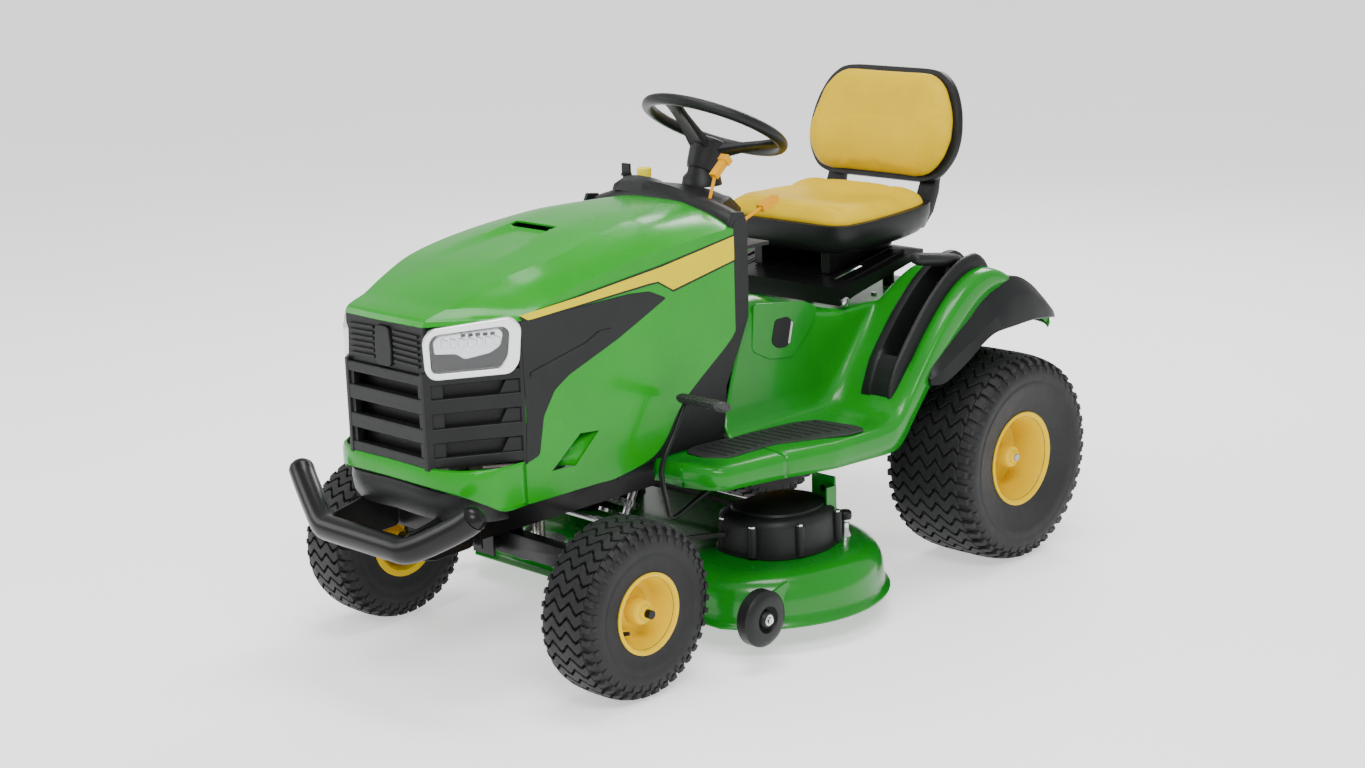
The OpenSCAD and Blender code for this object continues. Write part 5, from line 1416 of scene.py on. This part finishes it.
def seat_shell(back_outline, on_back):
    node = "seat_pan"
    # Shell behind the backrest: a dish whose rim shows round the cushion
    rows = []
    for k, d in ((1.035, -16), (1.045, -8), (1.045, -1), (1.02, 3), (0.9, 4.5), (0.5, 5)):
        rows.append([on_back(u * k, 130 + (v - 130) * k, d) for u, v in back_outline])
    loft("back_shell", rows, node, stands=True, sharp=50.0)
    # Pan under the seat cushion
    outline = rounded([(-182, 306), (-220, 348), (-232, 470), (-228, 606), (-196, 664), (196, 664),
                       (228, 606), (232, 470), (220, 348), (182, 306)], 60, 6)
    rows = []
    for k, z in ((1.0, 834), (1.005, 828), (1.0, 808), (0.97, 790), (0.9, 772), (0.8, 760), (0.6, 752)):
        rows.append([at(u * k, 485 + (v - 485) * k, z + 0.055 * (v - 300) * (1 if z > 800 else 0.6)) for u,
                     v in outline])
    loft("pan_shell", rows, node, sharp=50.0)
    for side, s in SIDES:
        rows = []
        for y, z, w, t in ((600, 786, 26, 8), (650, 792, 26, 9), (690, 826, 24, 9), (712, 872, 24, 9),
                           (728, 930, 22, 7), (742, 990, 18, 4)):
            rows.append([at(s * (150 - w), y - t, z + t), at(s * (150 + w), y - t, z + t),
                         at(s * (150 + w + 2), y, z), at(s * (150 + w), y + t, z - t),
                         at(s * (150 - w), y + t, z - t), at(s * (150 - w - 2), y, z)])
        loft("upright_" + side, rows, node, sharp=50.0)
        plate("seat_rail_" + side, [(360, 706), (360, 760), (600, 790), (600, 745)], (s * 96, s * 122),
              side_view, node, material="black_steel", edge=(2, 2))


def seat_base():
    refined("seat_base", 3, 3)
    node = "seat_base"
    for k in range(9):
        x = -190 + k * 47.5
        plate("base_rib_%d" % k, [(330, 694), (330, 700), (560, 746), (560, 738)], (x - 5, x + 5),
              side_view, node, edge=(2.5, 3))
    for s in (-1, 1):
        lathe("hinge_bolt_%d" % s, [(s * 222, 0.1), (s * 222, 12), (s * 226, 12), (s * 229, 8),
                                    (s * 230, 0.1)], (0, 300, 661), node, 24, material="zinc")


# ---- The rest of the CAD nodes ----

def mechanical():
    plain = {"frame_rails": 1.5, "engine_block": 2.0, "blower_housing": 5.0, "muffler": 3.0, "battery": 3.0,
             "fuel_tank": 6.0, "transaxle": 4.0, "drawbar": 1.5, "fasteners": 0.6, "crank_pulley": 1.0,
             "front_axle": 2.5, "spindle_left": 1.5, "spindle_right": 1.5, "steering_links": 1.0,
             "steering_shaft": 0.5, "sector_gear": 0.5, "blade_left": 0.8, "blade_right": 0.8,
             "discharge_chute": 3.0, "fuel_cap": 1.5}
    for node, width in plain.items():
        refined(node, width)


# ---- Stage, lights and camera ----

# Name, place and width in metres, and power in watts of each light
LIGHTS = [
    ("key", (3.4, -2.6, 4.2), 2.6, 190),
    ("fill", (-3.6, -3.2, 2.6), 3.0, 70),
    ("back", (-1.5, 4.0, 3.6), 2.4, 130),
    ("top", (0.3, -0.2, 4.6), 2.2, 110),
]


def stage():
    """Pale floor, even surroundings and four soft lights."""
    mesh = bpy.data.meshes.new("floor")
    size = 30.0
    mesh.from_pydata([(-size, -size, 0), (size, -size, 0), (size, size, 0), (-size, size, 0)], [],
                     [(0, 1, 2, 3)])
    floor = new_object("floor", mesh)
    mat, tree, shader = new_material("floor_paper")
    set_tint(tree, shader, noise(tree, 0.6), "Fac", (0.86, 0.865, 0.87), (0.9, 0.9, 0.905))
    shader.inputs["Roughness"].default_value = 0.75
    shader.inputs["Emission Color"].default_value = (1.0, 1.0, 1.0, 1.0)
    shader.inputs["Emission Strength"].default_value = 0.75
    mesh.materials.append(mat)
    world = bpy.data.worlds.new("studio")
    bpy.context.scene.world = world
    world.use_nodes = True
    background = world.node_tree.nodes["Background"]
    background.inputs["Color"].default_value = (1.0, 1.0, 1.0, 1.0)
    background.inputs["Strength"].default_value = 0.8
    target = Vector((CENTRE_X, CENTRE_Y, 0.55))
    for name, place, size, power in LIGHTS:
        lamp_data = bpy.data.lights.new(name, "AREA")
        lamp_data.shape = "RECTANGLE"
        lamp_data.size = size
        lamp_data.size_y = size * 0.6
        lamp_data.energy = power
        light = new_object(name, lamp_data)
        light.location = place
        light.rotation_euler = (target - Vector(place)).to_track_quat("-Z", "Y").to_euler()


def camera():
    data = bpy.data.cameras.new("view")
    data.lens = 59.89
    data.sensor_width = 36.0
    data.clip_end = 100.0
    obj = new_object("view", data)
    right = Vector((0.71426046, 0.69924015, -0.02991986))
    up = Vector((-0.1478169, 0.19250182, 0.97009959))
    behind = right.cross(up)
    place = at(3657.23, -3711.07, 1780.02)
    obj.matrix_world = Matrix(((right.x, up.x, behind.x, place.x), (right.y, up.y, behind.y, place.y),
                               (right.z, up.z, behind.z, place.z), (0, 0, 0, 1)))
    bpy.context.scene.camera = obj


both(wheels)
hood()
both(side_details)
grille()
both(lamp)
fender()
console()
both(trim)
rear_bumper()
dash()
steering_wheel()
controls()
front_end()
deck()
belt()
seat()
seat_base()
mechanical()
stage()
camera()
